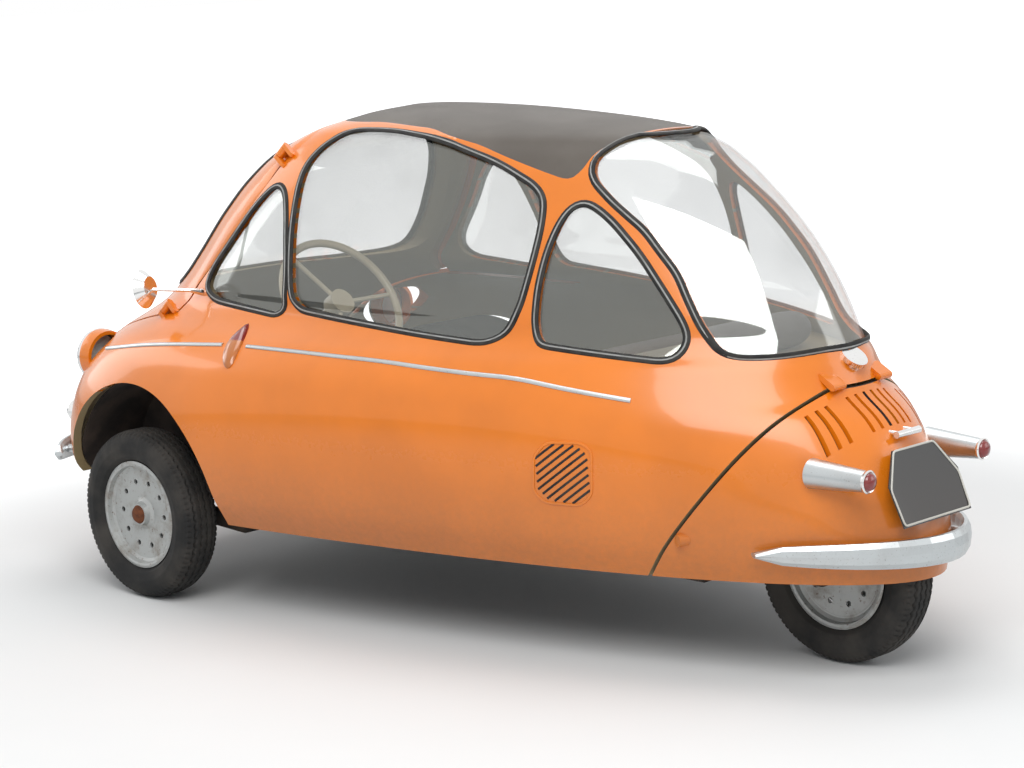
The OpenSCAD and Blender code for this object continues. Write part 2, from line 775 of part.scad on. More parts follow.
module wing_mirror() {
    base = [real_x(716), real_y(462), real_z(776)];
    elbow = base + [6, 34, 8];
    head = [real_x(800), real_y(585), real_z(792)];
    color("silver") on_skin() {
        hull() {
            translate(base - [3, 14, 3]) sphere(12, $fn = 16);
            translate(elbow) sphere(5, $fn = 16);
        }
        hull() for (p = [elbow, head]) translate(p) sphere(4.5, $fn = 16);
        translate(head) rotate([0, -80, 20]) cylinder(h = 22, r1 = 50, r2 = 30, $fn = 32);
    }
}

// ---- running gear ----------------------------------------------------------------------------
hub_len = 46;
drum_r = 92;

tube_x = front_axle_x - 170;
tube_z = rail_z - 42 - fit_gap;

module front_suspension() {
    color("black") {
        translate([tube_x, 0, tube_z]) rotate([90, 0, 0])
            cylinder(h = 2 * (kingpin_y - 92), r = 22, center = true);
        for (side = [-1, 1]) {
            translate([front_axle_x, side * kingpin_y, tyre_r]) difference() {
                cylinder(h = 70, r = 20, center = true);
                cylinder(h = 80, r = kingpin_r + fit_gap, center = true);
            }
            hull() {
                translate([tube_x, side * (kingpin_y - 105), tube_z]) rotate([90, 0, 0])
                    cylinder(h = 26, r = 22, center = true, $fn = 32);
                translate([front_axle_x - 22, side * (kingpin_y - 12), tyre_r]) cube([16, 24, 36], center = true);
            }
        }
    }
}

module knuckle(side) {
    color("dimgray")
    translate([front_axle_x, side * kingpin_y, tyre_r]) scale([1, side, 1]) {
        cylinder(h = 110, r = kingpin_r, center = true);
        difference() {
            translate([-16, -16, -50]) cube([32, 50, 100]);
            translate([-30, -40, -36]) cube([60, 64, 72]);
        }
        translate([0, 34, 0]) rotate([-90, 0, 0]) {
            translate([0, 0, -8]) cylinder(h = 8, r = drum_r - 8);
            cylinder(h = 60, r = stub_r);
        }
    }
}

module knuckle_left() { knuckle(1); }
module knuckle_right() { knuckle(-1); }

// Steel wheel with its drum, turned about Y; the outer side is +Y.
module wheel_disc() {
    half = rim_w / 2;
    difference() {
        rotate([-90, 0, 0]) rotate_extrude($fn = 64) polygon([
            [stub_r + fit_gap, -30], [30, -30], [34, -6], [drum_r, -6], [drum_r, 4], [40, 8], [38, 14],
            [96, 20], [112, 26], [118, -half + 16], [126, -half + 12], [127, -half + 2], [flange_r - 6, -half],
            [flange_r, -half + 2], [flange_r - 4, -half + 5], [130, -half + 8], [128, -half + 16], [121, -half + 22],
            [121, half - 22], [128, half - 16], [130, half - 8], [flange_r - 4, half - 5], [flange_r, half - 2],
            [flange_r - 6, half], [127, half - 2], [124, half - 14], [116, half - 18], [92, 24],
            [42, 22], [32, 28], [28, 40], [stub_r + fit_gap, 40]]);
        for (i = [0 : 9]) rotate([0, 36 * i, 0]) translate([84, 0, 0]) rotate([90, 0, 0])
            cylinder(h = 120, r = 7, center = true);
    }
}

module tyre_ring() {
    half = tyre_w / 2;
    rotate([90, 0, 0]) rotate_extrude($fn = 96) polygon([
        [129, -rim_w / 2 + 12], [140, -rim_w / 2 + 6], [150, -half + 6], [172, -half], [190, -half + 2],
        [208, -half + 9], [tyre_r - 3, -half + 22], [tyre_r, -20], [tyre_r, 20],
        [tyre_r - 3, half - 22], [208, half - 9], [190, half - 2], [172, half], [150, half - 6],
        [140, rim_w / 2 - 6], [129, rim_w / 2 - 12]]);
}

module at_front_wheel(side) {
    translate([front_axle_x, side * track_y, tyre_r]) scale([1, side, 1]) children();
}

module wheel_front_left() { color("silver") at_front_wheel(1) wheel_disc(); }
module tyre_front_left() { color("black") at_front_wheel(1) tyre_ring(); }
module wheel_front_right() { color("silver") at_front_wheel(-1) wheel_disc(); }
module tyre_front_right() { color("black") at_front_wheel(-1) tyre_ring(); }
module wheel_rear() { color("silver") translate([rear_axle_x, 0, tyre_r]) wheel_disc(); }
module tyre_rear() { color("black") translate([rear_axle_x, 0, tyre_r]) tyre_ring(); }

pivot_x = rear_axle_x + 250;

module rear_swing_arm() {
    color("dimgray") {
        translate([rear_axle_x, 0, tyre_r]) rotate([90, 0, 0]) cylinder(h = 170, r = stub_r, center = true);
        for (s = [-1, 1]) hull() {
            translate([rear_axle_x, s * 82, tyre_r]) rotate([90, 0, 0])
                cylinder(h = 20, r = 30, center = true, $fn = 32);
            translate([pivot_x, s * 82, rail_z]) rotate([90, 0, 0])
                cylinder(h = 20, r = 26, center = true, $fn = 32);
        }
        translate([pivot_x, 0, rail_z]) rotate([90, 0, 0])
            cylinder(h = 2 * (rail_y - 20 - fit_gap), r = 18, center = true);
    }
}

module engine_block() {
    color("gray") translate([bulkhead_x - 216, -170, rail_z + 20 + fit_gap]) cube([196, 340, 240]);
}

// ---- cabin -------------------------------------------------------------------------------------
module bench_cushion() {
    color("saddlebrown") translate([bulkhead_x + 12, -seat_w / 2, floor_z + 110]) cube([seat_d, seat_w, seat_t]);
}

module bench_back() {
    high = 220;
    lean = 8;
    color("saddlebrown")
    translate([bulkhead_x + 6 + fit_gap + high * sin(lean), -seat_w / 2, floor_z + 110 + seat_t + fit_gap])
        rotate([0, -lean, 0]) cube([70, seat_w, high]);
}

column_top = [real_x(389), 280, real_z(753)];

module column_place() {
    translate(column_top) rotate([0, 90 + column_lean, 0]) children();
}

module steering_column() {
    foot = column_top + [676 * cos(column_lean), 0, -676 * sin(column_lean)];
    color("ivory") {
        column_place() translate([0, 0, 32 + fit_gap]) cylinder(h = 644, r = 18);
        translate([foot[0] - 34, foot[1] - 30, floor_z + floor_t + fit_gap])
            cube([68, 60, foot[2] - floor_z - floor_t]);
    }
}

module steering_wheel() {
    color("ivory") column_place() {
        rotate_extrude($fn = 64) translate([steering_r, 0]) circle(steering_rim_r, $fn = 24);
        translate([0, 0, -6]) cylinder(h = 38, r = 34);
        for (a = [30, 150, 270]) rotate([0, 0, a]) translate([30, 0, 6]) rotate([0, 90, 0])
            cylinder(h = steering_r - 36, r = 6);
    }
}

module rear_roll() {
    color("dimgray") translate([real_x(-700), 0, shelf_z + 6 + 45 + fit_gap]) rotate([90, 0, 0])
        cylinder(h = 420, r = 45, center = true);
}

body_shell();
floor_pan();
chassis_frame();
front_wheelhouses();
rear_bulkhead();
front_door();
windscreen();
door_hinge_brackets();
door_hinge_arms();
door_handle();
wiper();
rear_lid();
lid_hinges();
lid_handle();
lid_latches();
fabric_roof();
rear_dome();
side_windows();
rear_quarter_windows();
front_quarter_windows();
headlamps();
front_lamps();
side_indicators();
tail_lamps();
front_bumpers();
rear_bumper();
number_plate();
filler_cap();
wing_mirror();
front_suspension();
knuckle_left();
knuckle_right();
wheel_front_left();
tyre_front_left();
wheel_front_right();
tyre_front_right();
rear_swing_arm();
wheel_rear();
tyre_rear();
engine_block();
bench_cushion();
bench_back();
steering_column();
steering_wheel();
rear_roll();
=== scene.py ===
# %% [markdown]
# # A three-wheeled bubble car
# The car is an egg: one smooth surface from the nose to the tail, cut into a door, a tail lid,
# windows, a fabric roof and a clear plastic dome. The frame loaded here gives every piece its place.
# All the new pieces below are worked out as arrays with numpy and put round that frame.

# %% Load the frame
import math
import bmesh
import bpy
import numpy as np
from mathutils import Matrix, Vector


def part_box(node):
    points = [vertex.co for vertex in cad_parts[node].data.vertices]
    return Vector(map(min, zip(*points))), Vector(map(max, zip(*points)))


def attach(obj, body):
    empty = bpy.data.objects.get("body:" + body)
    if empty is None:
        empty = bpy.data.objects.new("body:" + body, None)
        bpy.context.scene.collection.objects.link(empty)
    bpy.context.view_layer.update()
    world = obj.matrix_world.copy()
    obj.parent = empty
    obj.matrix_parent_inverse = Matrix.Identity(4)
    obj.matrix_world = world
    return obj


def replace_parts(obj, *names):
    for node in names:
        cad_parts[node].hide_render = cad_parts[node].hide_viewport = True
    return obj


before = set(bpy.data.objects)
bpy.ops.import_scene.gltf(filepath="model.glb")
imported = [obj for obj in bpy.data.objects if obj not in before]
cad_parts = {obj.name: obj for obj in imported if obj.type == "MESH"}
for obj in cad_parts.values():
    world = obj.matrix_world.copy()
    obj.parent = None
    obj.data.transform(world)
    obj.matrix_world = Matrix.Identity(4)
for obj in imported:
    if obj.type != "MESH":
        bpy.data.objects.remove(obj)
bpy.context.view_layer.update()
MM = 0.001


def centre(node):
    """The middle of a CAD node's box, in metres."""
    low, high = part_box(node)
    return np.array((low + high) / 2)


# %% [markdown]
# ## Camera
# The camera stands behind the car's left shoulder, a little above the roof, with a long lens. Its
# place and its three angles were worked out from the wheels and the tail lamps. The view is built
# from a forward, a right and an up direction, which become the columns of its matrix.

# %% Camera
CAMERA_AT = (-4.492, 4.637, 1.697)
YAW, PITCH, ROLL = math.radians(-45.45), math.radians(-10.15), math.radians(-1.91)
LENS = 92.0
forward = Vector((math.cos(PITCH) * math.cos(YAW), math.cos(PITCH) * math.sin(YAW), math.sin(PITCH)))
level_right = Vector((math.sin(YAW), -math.cos(YAW), 0))
level_up = level_right.cross(forward)
right = level_right * math.cos(ROLL) + level_up * math.sin(ROLL)
up = level_up * math.cos(ROLL) - level_right * math.sin(ROLL)
camera_data = bpy.data.cameras.new("camera")
camera_data.lens, camera_data.sensor_width = LENS, 36.0
camera_data.clip_end = 100
camera = bpy.data.objects.new("camera", camera_data)
turn = Matrix((right, up, -forward)).transposed()
camera.matrix_world = Matrix.Translation(CAMERA_AT) @ turn.to_4x4()
bpy.context.scene.collection.objects.link(camera)
bpy.context.scene.camera = camera
print("camera", CAMERA_AT, "lens", LENS)

# %% [markdown]
# ## Light and floor
# A big soft panel stands over the car and two weaker ones light its sides, as in a studio with
# white walls. The floor is one pale sheet. The world is white to the camera and in reflections,
# and a soft grey for the light that it sends.


# %% Light and floor
def lamp(name, place, aim, size, power):
    """A square soft light at a place, turned towards a point."""
    data = bpy.data.lights.new(name, "AREA")
    data.size, data.energy = size, power
    light = bpy.data.objects.new(name, data)
    light.location = place
    light.rotation_euler = (Vector(aim) - Vector(place)).to_track_quat("-Z", "Y").to_euler()
    bpy.context.scene.collection.objects.link(light)
    return light


lamp("key_light", (-3.0, 3.5, 5.0), (0, 0, 0.6), 4.0, 245)
lamp("top_light", (0.8, -1.0, 5.5), (0, 0, 0.5), 4.0, 120)
lamp("fill_light", (-5.0, -3.0, 2.5), (0, 0, 0.5), 3.0, 42)
lamp("front_light", (5.5, 1.5, 2.5), (0, 0, 0.5), 3.0, 52)
world = bpy.data.worlds.new("studio")
world.use_nodes = True
bpy.context.scene.world = world
nodes, links = world.node_tree.nodes, world.node_tree.links
nodes.clear()
path = nodes.new("ShaderNodeLightPath")
seen = nodes.new("ShaderNodeMath")
seen.operation = "MAXIMUM"
seen_any = nodes.new("ShaderNodeMath")
seen_any.operation = "MAXIMUM"
white = nodes.new("ShaderNodeBackground")
white.inputs["Color"].default_value = (1, 1, 1, 1)
soft = nodes.new("ShaderNodeBackground")
soft.inputs["Color"].default_value = (0.9, 0.95, 1.0, 1)
soft.inputs["Strength"].default_value = 0.42
mix = nodes.new("ShaderNodeMixShader")
output = nodes.new("ShaderNodeOutputWorld")
links.new(path.outputs["Is Camera Ray"], seen.inputs[0])
links.new(path.outputs["Is Glossy Ray"], seen.inputs[1])
links.new(seen.outputs[0], seen_any.inputs[0])
links.new(path.outputs["Is Transmission Ray"], seen_any.inputs[1])
links.new(seen_any.outputs[0], mix.inputs["Fac"])
links.new(soft.outputs[0], mix.inputs[1])
links.new(white.outputs[0], mix.inputs[2])
links.new(mix.outputs[0], output.inputs["Surface"])
bpy.context.scene.view_settings.view_transform = "Standard"
floor_mesh = bpy.data.meshes.new("floor")
floor_mesh.from_pydata([(-40, -40, 0), (40, -40, 0), (40, 40, 0), (-40, 40, 0)], [], [(0, 1, 2, 3)])
floor = bpy.data.objects.new("floor", floor_mesh)
bpy.context.scene.collection.objects.link(floor)

# %% [markdown]
# ## Shader maths in plain Python
# A finish is a small graph of nodes. `Wire` wraps one output, so that `0.5 + mask * 0.2` writes the
# Math nodes by itself, and `Finish` makes a material and hands out its nodes. Only the sockets that
# may vary over a surface get a wire; every constant goes on the shader's own socket.


# %% Wires and finishes
class Wire:
    """One node output; arithmetic on it adds Math nodes to the same tree."""

    def __init__(self, finish, socket):
        self.finish, self.socket = finish, socket

    def math(self, operation, other=None, swap=False):
        pair = [self, other][:: -1 if swap else 1]
        node = self.finish.tree.nodes.new("ShaderNodeMath")
        node.operation = operation
        for k, value in enumerate(pair):
            if value is not None:
                self.finish.put(node.inputs[k], value)
        return Wire(self.finish, node.outputs[0])

    def __add__(self, other):
        return self.math("ADD", other)

    __radd__ = __add__

    def __mul__(self, other):
        return self.math("MULTIPLY", other)

    __rmul__ = __mul__

    def __sub__(self, other):
        return self.math("SUBTRACT", other)

    def __rsub__(self, other):
        return self.math("SUBTRACT", other, swap=True)

    def above(self, low, high):
        """0 under low, 1 over high, smooth between."""
        node = self.finish.node("ShaderNodeMapRange", {"interpolation_type": "SMOOTHSTEP", "clamp": True},
                                {"Value": self, "From Min": low, "From Max": high})
        return Wire(self.finish, node.outputs["Result"])


class Finish:
    """A material with one Principled shader, and the nodes that feed it."""

    def __init__(self, name, **constants):
        self.material = bpy.data.materials.new(name)
        self.material.use_nodes = True
        self.tree = self.material.node_tree
        self.shader = self.tree.nodes["Principled BSDF"]
        for socket, value in constants.items():
            self.shader.inputs[socket.replace("_", " ")].default_value = value
        self.place = self.node("ShaderNodeTexCoord").outputs["Object"]

    def put(self, socket, value):
        if isinstance(value, Wire):
            self.tree.links.new(value.socket, socket)
        elif isinstance(value, bpy.types.NodeSocket):
            self.tree.links.new(value, socket)
        else:
            socket.default_value = value

    def node(self, kind, settings=None, sockets=None):
        made = self.tree.nodes.new(kind)
        for key, value in (settings or {}).items():
            setattr(made, key, value)
        for key, value in (sockets or {}).items():
            self.put(made.inputs[key], value)
        return made

    def noise(self, scale, detail=3.0, rough=0.55, stretch=None):
        """Cloudy values around 0.5, at a scale in blobs a metre."""
        where = self.place
        if stretch:
            where = self.node("ShaderNodeMapping", {}, {"Vector": where, "Scale": stretch}).outputs[0]
        made = self.node("ShaderNodeTexNoise", {}, {"Vector": where, "Scale": scale, "Detail": detail,
                                                    "Roughness": rough})
        return Wire(self, made.outputs["Fac"])

    def height(self):
        """Height above the ground in metres."""
        made = self.node("ShaderNodeSeparateXYZ", {}, {"Vector": self.place})
        return Wire(self, made.outputs["Z"])

    def mix(self, factor, one, two):
        """Colour one where factor is 0, colour two where it is 1."""
        made = self.node("ShaderNodeMix", {"data_type": "RGBA"})
        self.put(made.inputs["Factor"], factor)
        for socket, colour in ((made.inputs[6], one), (made.inputs[7], two)):
            self.put(socket, (*colour, 1.0) if isinstance(colour, tuple) and len(colour) == 3 else colour)
        return made.outputs[2]

    def feed(self, **wires):
        for socket, value in wires.items():
            self.put(self.shader.inputs[socket.replace("_", " ")], value)
        return self

    def bump(self, height, strength, distance):
        made = self.node("ShaderNodeBump", {}, {"Height": height, "Strength": strength, "Distance": distance})
        self.put(self.shader.inputs["Normal"], made.outputs["Normal"])
        return self


floor_finish = Finish("pale_floor", Roughness=0.9, Specular_IOR_Level=0.1, Emission_Strength=1.0)
floor_finish.feed(Base_Color=floor_finish.mix(floor_finish.noise(1.5), (0.80, 0.80, 0.79),
                                              (0.84, 0.84, 0.83)))
reach = floor_finish.node("ShaderNodeVectorMath", {"operation": "LENGTH"}, {"Vector": floor_finish.place})
seen_first = floor_finish.node("ShaderNodeLightPath").outputs["Is Camera Ray"]
fade = Wire(floor_finish, reach.outputs["Value"]).above(1.6, 3.6) * Wire(floor_finish, seen_first)
floor_finish.feed(Emission_Color=floor_finish.mix(fade, (0.0, 0.0, 0.0), (1.0, 1.0, 1.0)))
floor.data.materials.append(floor_finish.material)
print("studio ready")

# %% [markdown]
# ## Finishes
# The enamel is a bright orange under a clear coat. It turns duller, darker and browner towards the
# sills, and has faint mottling. Bright metal is lightly pitted; rubber is dusty; the
# wheels wear worn silver paint with brown dirt; panes are thin and mostly show what is behind them.


# %% Paints and metals
def paint(name, colour, dark_tint=(0.20, 0.10, 0.04), rough=0.22, coat=0.5, low=0.22, high=0.55, amount=0.5):
    """Enamel: a colour that drifts by cloudy noise, turning darker and browner in fine blotches towards the
    ground.
    """
    f = Finish(name, Coat_Roughness=0.06, Specular_IOR_Level=0.5)
    f.put(f.shader.inputs["Coat Weight"], coat)
    cloud = f.noise(3.0, 4.0)
    fine = f.noise(60.0, 4.0, 0.7)
    shade = f.mix(cloud.above(0.3, 0.7), colour, tuple(c * 0.86 for c in colour))
    # Below the high mark the colour turns towards the dark tint in fine blotches, fading out upwards;
    # roughness rises with it.
    low_darkening = (1.0 - f.height().above(low, high)) * (0.35 + fine * 0.9) * amount
    f.feed(Base_Color=f.mix(low_darkening, shade, dark_tint), Roughness=rough + low_darkening * 0.5 + fine * 0.06)
    return f.bump(fine, 0.03, 0.001).material


def metal(name, colour, rough=0.12, pits=0.5, dark_tint=(0.15, 0.12, 0.1)):
    """Bright metal with small dull pits and a faint brown film."""
    f = Finish(name, Metallic=1.0)
    spots = f.noise(260.0, 2.0).above(0.62, 0.75) * pits
    film = f.noise(9.0, 4.0).above(0.45, 0.75) * 0.3 * pits
    f.feed(Base_Color=f.mix(spots * 0.7 + film, colour, dark_tint), Roughness=rough + spots * 0.35 + film * 0.4)
    return f.bump(spots, 0.08, 0.0005).material


def matt(name, colour, other, scale=20.0, rough=0.85, bump=0.25, fine=300.0):
    """A dull surface between two colours, with a fine grain."""
    f = Finish(name, Specular_IOR_Level=0.3)
    cloud = f.noise(scale, 5.0)
    grain = f.noise(fine, 3.0)
    f.feed(Base_Color=f.mix(cloud.above(0.35, 0.7), colour, other), Roughness=rough + grain * 0.1 - 0.05)
    return f.bump(grain, bump, 0.001).material


def pane(name, tint, least, most):
    """Thin clear sheet: it mirrors more as it is seen more edge-on, and lets the rest through."""
    f = Finish(name, Roughness=0.03, Metallic=1.0)
    facing = f.node("ShaderNodeLayerWeight", {}, {"Blend": 0.35})
    edge = Wire(f, facing.outputs["Facing"])
    smear = f.noise(5.0, 4.0).above(0.4, 0.8)
    f.feed(Base_Color=f.mix(smear, tint, tuple(c * 0.9 for c in tint)),
           Alpha=least + edge.math("POWER", 3.0) * (most - least) + smear * 0.03)
    return f.material


ORANGE = (0.83, 0.21, 0.006)
MAT = {
    "orange_paint": paint("orange_paint", ORANGE),
    "tan_panel": paint("tan_panel", (0.36, 0.27, 0.14), rough=0.5, coat=0.1, amount=0.2),
    "black_iron": matt("black_iron", (0.02, 0.02, 0.02), (0.08, 0.06, 0.045), 14.0, 0.7),
    "underbody": matt("underbody", (0.025, 0.02, 0.018), (0.07, 0.05, 0.04), 10.0, 0.9),
    "clear_glass": pane("clear_glass", (0.50, 0.52, 0.50), 0.20, 0.55),
    "perspex": pane("perspex", (0.62, 0.64, 0.63), 0.18, 0.5),
    "bright_metal": metal("bright_metal", (0.86, 0.86, 0.85)),
    "black_rubber": matt("black_rubber", (0.012, 0.012, 0.012), (0.035, 0.033, 0.03), 30.0, 0.6, 0.15),
    "grey_filler": matt("grey_filler", (0.35, 0.35, 0.34), (0.22, 0.22, 0.21), 30.0, 0.45, 0.05),
    "amber_lens": paint("amber_lens", (0.50, 0.14, 0.012), rough=0.12, coat=0.8, amount=0.1),
    "red_lens": paint("red_lens", (0.22, 0.008, 0.006), rough=0.1, coat=0.9, amount=0.0),
    "clear_lens": paint("clear_lens", (0.80, 0.82, 0.80), rough=0.08, coat=0.9, amount=0.05),
    "silver_paint": metal("silver_paint", (0.56, 0.59, 0.60), 0.32, 0.6),
    "plate_black": paint("plate_black", (0.012, 0.012, 0.012), rough=0.3, coat=0.3, amount=0.1),
    "pale_trim": paint("pale_trim", (0.62, 0.60, 0.54), rough=0.35, coat=0.2, amount=0.1),
    "engine_metal": matt("engine_metal", (0.10, 0.10, 0.10), (0.04, 0.035, 0.03), 20.0, 0.6),
    "cream_plastic": paint("cream_plastic", (0.72, 0.62, 0.43), rough=0.3, coat=0.4, amount=0.0),
    "tyre_rubber": matt("tyre_rubber", (0.016, 0.016, 0.016), (0.05, 0.045, 0.04), 9.0, 0.8, 0.3),
    "rust": matt("rust", (0.18, 0.06, 0.025), (0.09, 0.035, 0.02), 60.0, 0.9, 0.5),
}
wheel = Finish("wheel_silver", Metallic=0.35)
wheel_dirt = wheel.noise(14.0, 6.0, 0.7).above(0.46, 0.7)
wheel_chips = wheel.noise(90.0, 4.0, 0.7).above(0.6, 0.68)
wheel_base = wheel.mix(wheel_dirt * 0.6, (0.42, 0.43, 0.42), (0.22, 0.18, 0.14))
wheel.feed(Base_Color=wheel.mix(wheel_chips * 0.7, wheel_base, (0.12, 0.06, 0.035)),
           Roughness=0.38 + wheel_dirt * 0.35)
MAT["wheel_silver"] = wheel.bump(wheel_chips, 0.15, 0.001).material


def cloth(name, colour, other, thread=900.0, rough=0.95):
    """Woven cloth: two crossed sets of fine waves for the threads, over cloudy fading."""
    f = Finish(name, Specular_IOR_Level=0.15, Sheen_Weight=0.25, Sheen_Roughness=0.6)
    waves = []
    for axis in ("X", "Y"):
        made = f.node("ShaderNodeTexWave", {"bands_direction": axis},
                      {"Vector": f.place, "Scale": thread, "Distortion": 0.6, "Detail": 1.0})
        waves.append(Wire(f, made.outputs["Fac"]))
    weave = waves[0] * waves[1]
    fade = f.noise(6.0, 5.0).above(0.3, 0.75)
    base = f.mix(fade, colour, other)
    f.feed(Base_Color=f.mix(weave * 0.45, base, tuple(c * 0.55 for c in colour)), Roughness=rough)
    return f.bump(weave + f.noise(250.0) * 0.4, 0.3, 0.0008).material


MAT["roof_cloth"] = cloth("roof_cloth", (0.115, 0.098, 0.082), (0.16, 0.14, 0.12), 260.0)
MAT["seat_cloth"] = cloth("seat_cloth", (0.12, 0.062, 0.032), (0.17, 0.095, 0.055), 200.0)
print(len(MAT), "finishes")

# %% [markdown]
# ## The skin of the car
# The body is one surface. At each height a plan section is a squared-off oval: long and blunt
# towards the nose, pointed towards the tail. A short table holds seven numbers per height, and a
# smooth curve through each column gives every height between. The same table made the CAD model.

# %% The table of sections and the smooth curve through it
# Columns: height, x of nose, x of tail, half width, x of greatest width, squareness towards the
# nose, squareness towards the tail; lengths in millimetres.
LEVELS = np.array([
    [230, 1145, -1215, 622, 520, 7.5, 1.25], [300, 1232, -1222, 664, 560, 7.5, 1.30],
    [380, 1262, -1204, 682, 590, 6.5, 1.36], [450, 1266, -1178, 686, 600, 5.6, 1.42],
    [520, 1260, -1140, 680, 580, 5.0, 1.52], [580, 1242, -1095, 664, 540, 4.6, 1.60],
    [630, 1210, -1035, 640, 480, 4.4, 1.68], [665, 1176, -1012, 608, 420, 4.3, 1.70],
    [695, 1140, -1000, 567, 350, 4.3, 1.72], [720, 1112, -988, 525, 290, 4.5, 1.73],
    [745, 1085, -980, 492, 240, 5.0, 1.72], [800, 1030, -955, 477, 220, 5.0, 1.70],
    [870, 965, -915, 461, 200, 5.0, 1.66], [975, 870, -835, 428, 200, 5.0, 1.64],
    [1060, 775, -745, 393, 200, 5.0, 1.64], [1120, 690, -672, 363, 210, 4.6, 1.64],
    [1165, 600, -595, 328, 230, 4.2, 1.66], [1192, 520, -500, 296, 250, 3.6, 1.68],
    [1208, 465, -330, 250, 270, 3.0, 1.75], [1222, 420, -60, 180, 290, 2.4, 2.0],
    [1232, 370, 200, 70, 300, 2.0, 2.0]], float)
SILL, CROWN = LEVELS[0, 0], LEVELS[-1, 0]
WALL, DOOR_WALL, LID_WALL = 20.0, 32.0, 12.0
GLASS_DEPTH, GLASS = 5.0, 5.0
DOOR_GAP, LID_GAP = 9.0, 7.0


def columns(z):
    """The six numbers of the table at heights z, on the cubic curve whose slope at each row is the
    mean of the slopes on both sides, weighted by the other side's length."""
    rows, values = LEVELS[:, 0], LEVELS[:, 1:]
    step = np.diff(rows)[:, None]
    slope = np.diff(values, axis=0) / step
    inner = (slope[:-1] * step[1:] + slope[1:] * step[:-1]) / (step[1:] + step[:-1])
    slopes = np.vstack([slope[:1], inner, slope[-1:]])
    z = np.clip(np.asarray(z, float), SILL, CROWN)
    i = np.clip(np.searchsorted(rows, z, "right") - 1, 0, len(rows) - 2)
    h = (rows[i + 1] - rows[i])[..., None]
    t = (z - rows[i])[..., None] / h
    out = ((2 * t**3 - 3 * t**2 + 1) * values[i] + (t**3 - 2 * t**2 + t) * h * slopes[i]
           + (3 * t**2 - 2 * t**3) * values[i + 1] + (t**3 - t**2) * h * slopes[i + 1])
    return np.moveaxis(out, -1, 0)


def half_width(x, z):
    """Half width of the skin at x and height z: the widest part times the square root of one less
    the distance from the widest place, as a share of the way to the end, to the squareness."""
    nose, tail, width, widest, blunt, point = columns(z)
    x = np.asarray(x, float)
    share = np.where(x > widest, (x - widest) / (nose - widest), (widest - x) / (widest - tail))
    power = np.where(x > widest, blunt, point)
    return width * np.sqrt(np.clip(1 - np.clip(share, 0, 1) ** power, 0, None))


def end_x(y, z, end):
    """x of the skin at y and height z, on the nose (end 1) or on the tail (end -1)."""
    nose, tail, width, widest, blunt, point = columns(z)
    side = np.clip(np.abs(y) / width, 0, 1)
    return (widest + (nose - widest) * (1 - side**2) ** (1 / blunt) if end > 0
            else widest - (widest - tail) * (1 - side**2) ** (1 / point))


def outward(points):
    """Unit normals of the skin at points on it, from small steps across the half width."""
    x, y, z = np.asarray(points, float).T
    step = 0.5
    nose, tail = columns(z)[:2]
    x = np.clip(x, tail + 3, nose - 3)
    gx = (half_width(x + step, z) - half_width(x - step, z)) / (2 * step)
    gz = (half_width(x, z + step) - half_width(x, z - step)) / (2 * step)
    n = np.stack([-gx, np.sign(y), -gz], -1)
    return n / np.linalg.norm(n, axis=1, keepdims=True)


AROUND, RISE = 224, 118
heights = np.concatenate([np.linspace(SILL, 600, 34, endpoint=False),
                          np.linspace(600, 780, 34, endpoint=False),
                          np.linspace(780, 1140, 26, endpoint=False),
                          CROWN - 92 * (1 - np.linspace(0, 1, RISE - 94)) ** 2])


def rings(depth, foot=None):
    """Closed plan sections, one row per height, moved inwards by depth: sideways on the walls, and
    turning smoothly to downwards at the crown. Points are spread evenly by length along each ring."""
    z = heights[:, None]
    nose, tail, width, widest, blunt, point = columns(z)
    t = np.clip((z - 1050) / 182, 0, 1)
    roof = t * t * (3 - 2 * t)
    side, down = depth * (1 - 0.55 * roof), depth * roof
    a = np.linspace(0, 2 * np.pi, 1441)[None, :]
    ca, sa = np.cos(a), np.sin(a)
    ahead = ca >= 0
    far = np.where(ahead, nose - widest, widest - tail) - side
    x = widest + np.sign(ca) * far * np.abs(ca) ** (2 / np.where(ahead, blunt, point))
    y = (width - side) * sa
    length = np.concatenate([np.zeros((len(z), 1)), np.hypot(np.diff(x), np.diff(y)).cumsum(1)], 1)
    spread = np.linspace(0, 1, AROUND, endpoint=False)
    even = [(np.interp(spread * n[-1], n, px), np.interp(spread * n[-1], n, py))
            for n, px, py in zip(length, x, y)]
    made = np.stack([np.array([e[0] for e in even]), np.array([e[1] for e in even]),
                     np.broadcast_to(z - down, (len(z), AROUND))], -1)
    if foot is not None:
        low = made[:1].copy()
        low[..., 2] = foot
        made = np.concatenate([low, made])
    return made


print("half width over the front wheels", round(float(half_width(790, 450)), 1), "mm")

# %% [markdown]
# ## From arrays to meshes
# A grid of points becomes a mesh of four-sided faces. Where a grid closes on itself its last column
# joins its first, and where an end shrinks to one point the doubles are merged into a pole.


# %% Mesh helpers
def make(name, points, faces, slot, body="root", finish=None, angle=35.0, clean=True):
    """A finished piece from points in millimetres: merged, turned outwards, smooth up to an angle."""
    mesh = bpy.data.meshes.new(name)
    mesh.from_pydata((np.asarray(points, float).reshape(-1, 3) * MM).tolist(), [], faces)
    piece = bpy.data.objects.new(name, mesh)
    bpy.context.scene.collection.objects.link(piece)
    if clean:
        tidy(piece)
    return dress(piece, slot, body, finish, angle)


def tidy(piece, merge=2e-6):
    """Merges doubled points, drops faces without area and turns every face outwards."""
    work = bmesh.new()
    work.from_mesh(piece.data)
    bmesh.ops.remove_doubles(work, verts=work.verts, dist=merge)
    bmesh.ops.dissolve_degenerate(work, edges=work.edges, dist=1e-7)
    bmesh.ops.recalc_face_normals(work, faces=work.faces)
    work.to_mesh(piece.data)
    work.free()


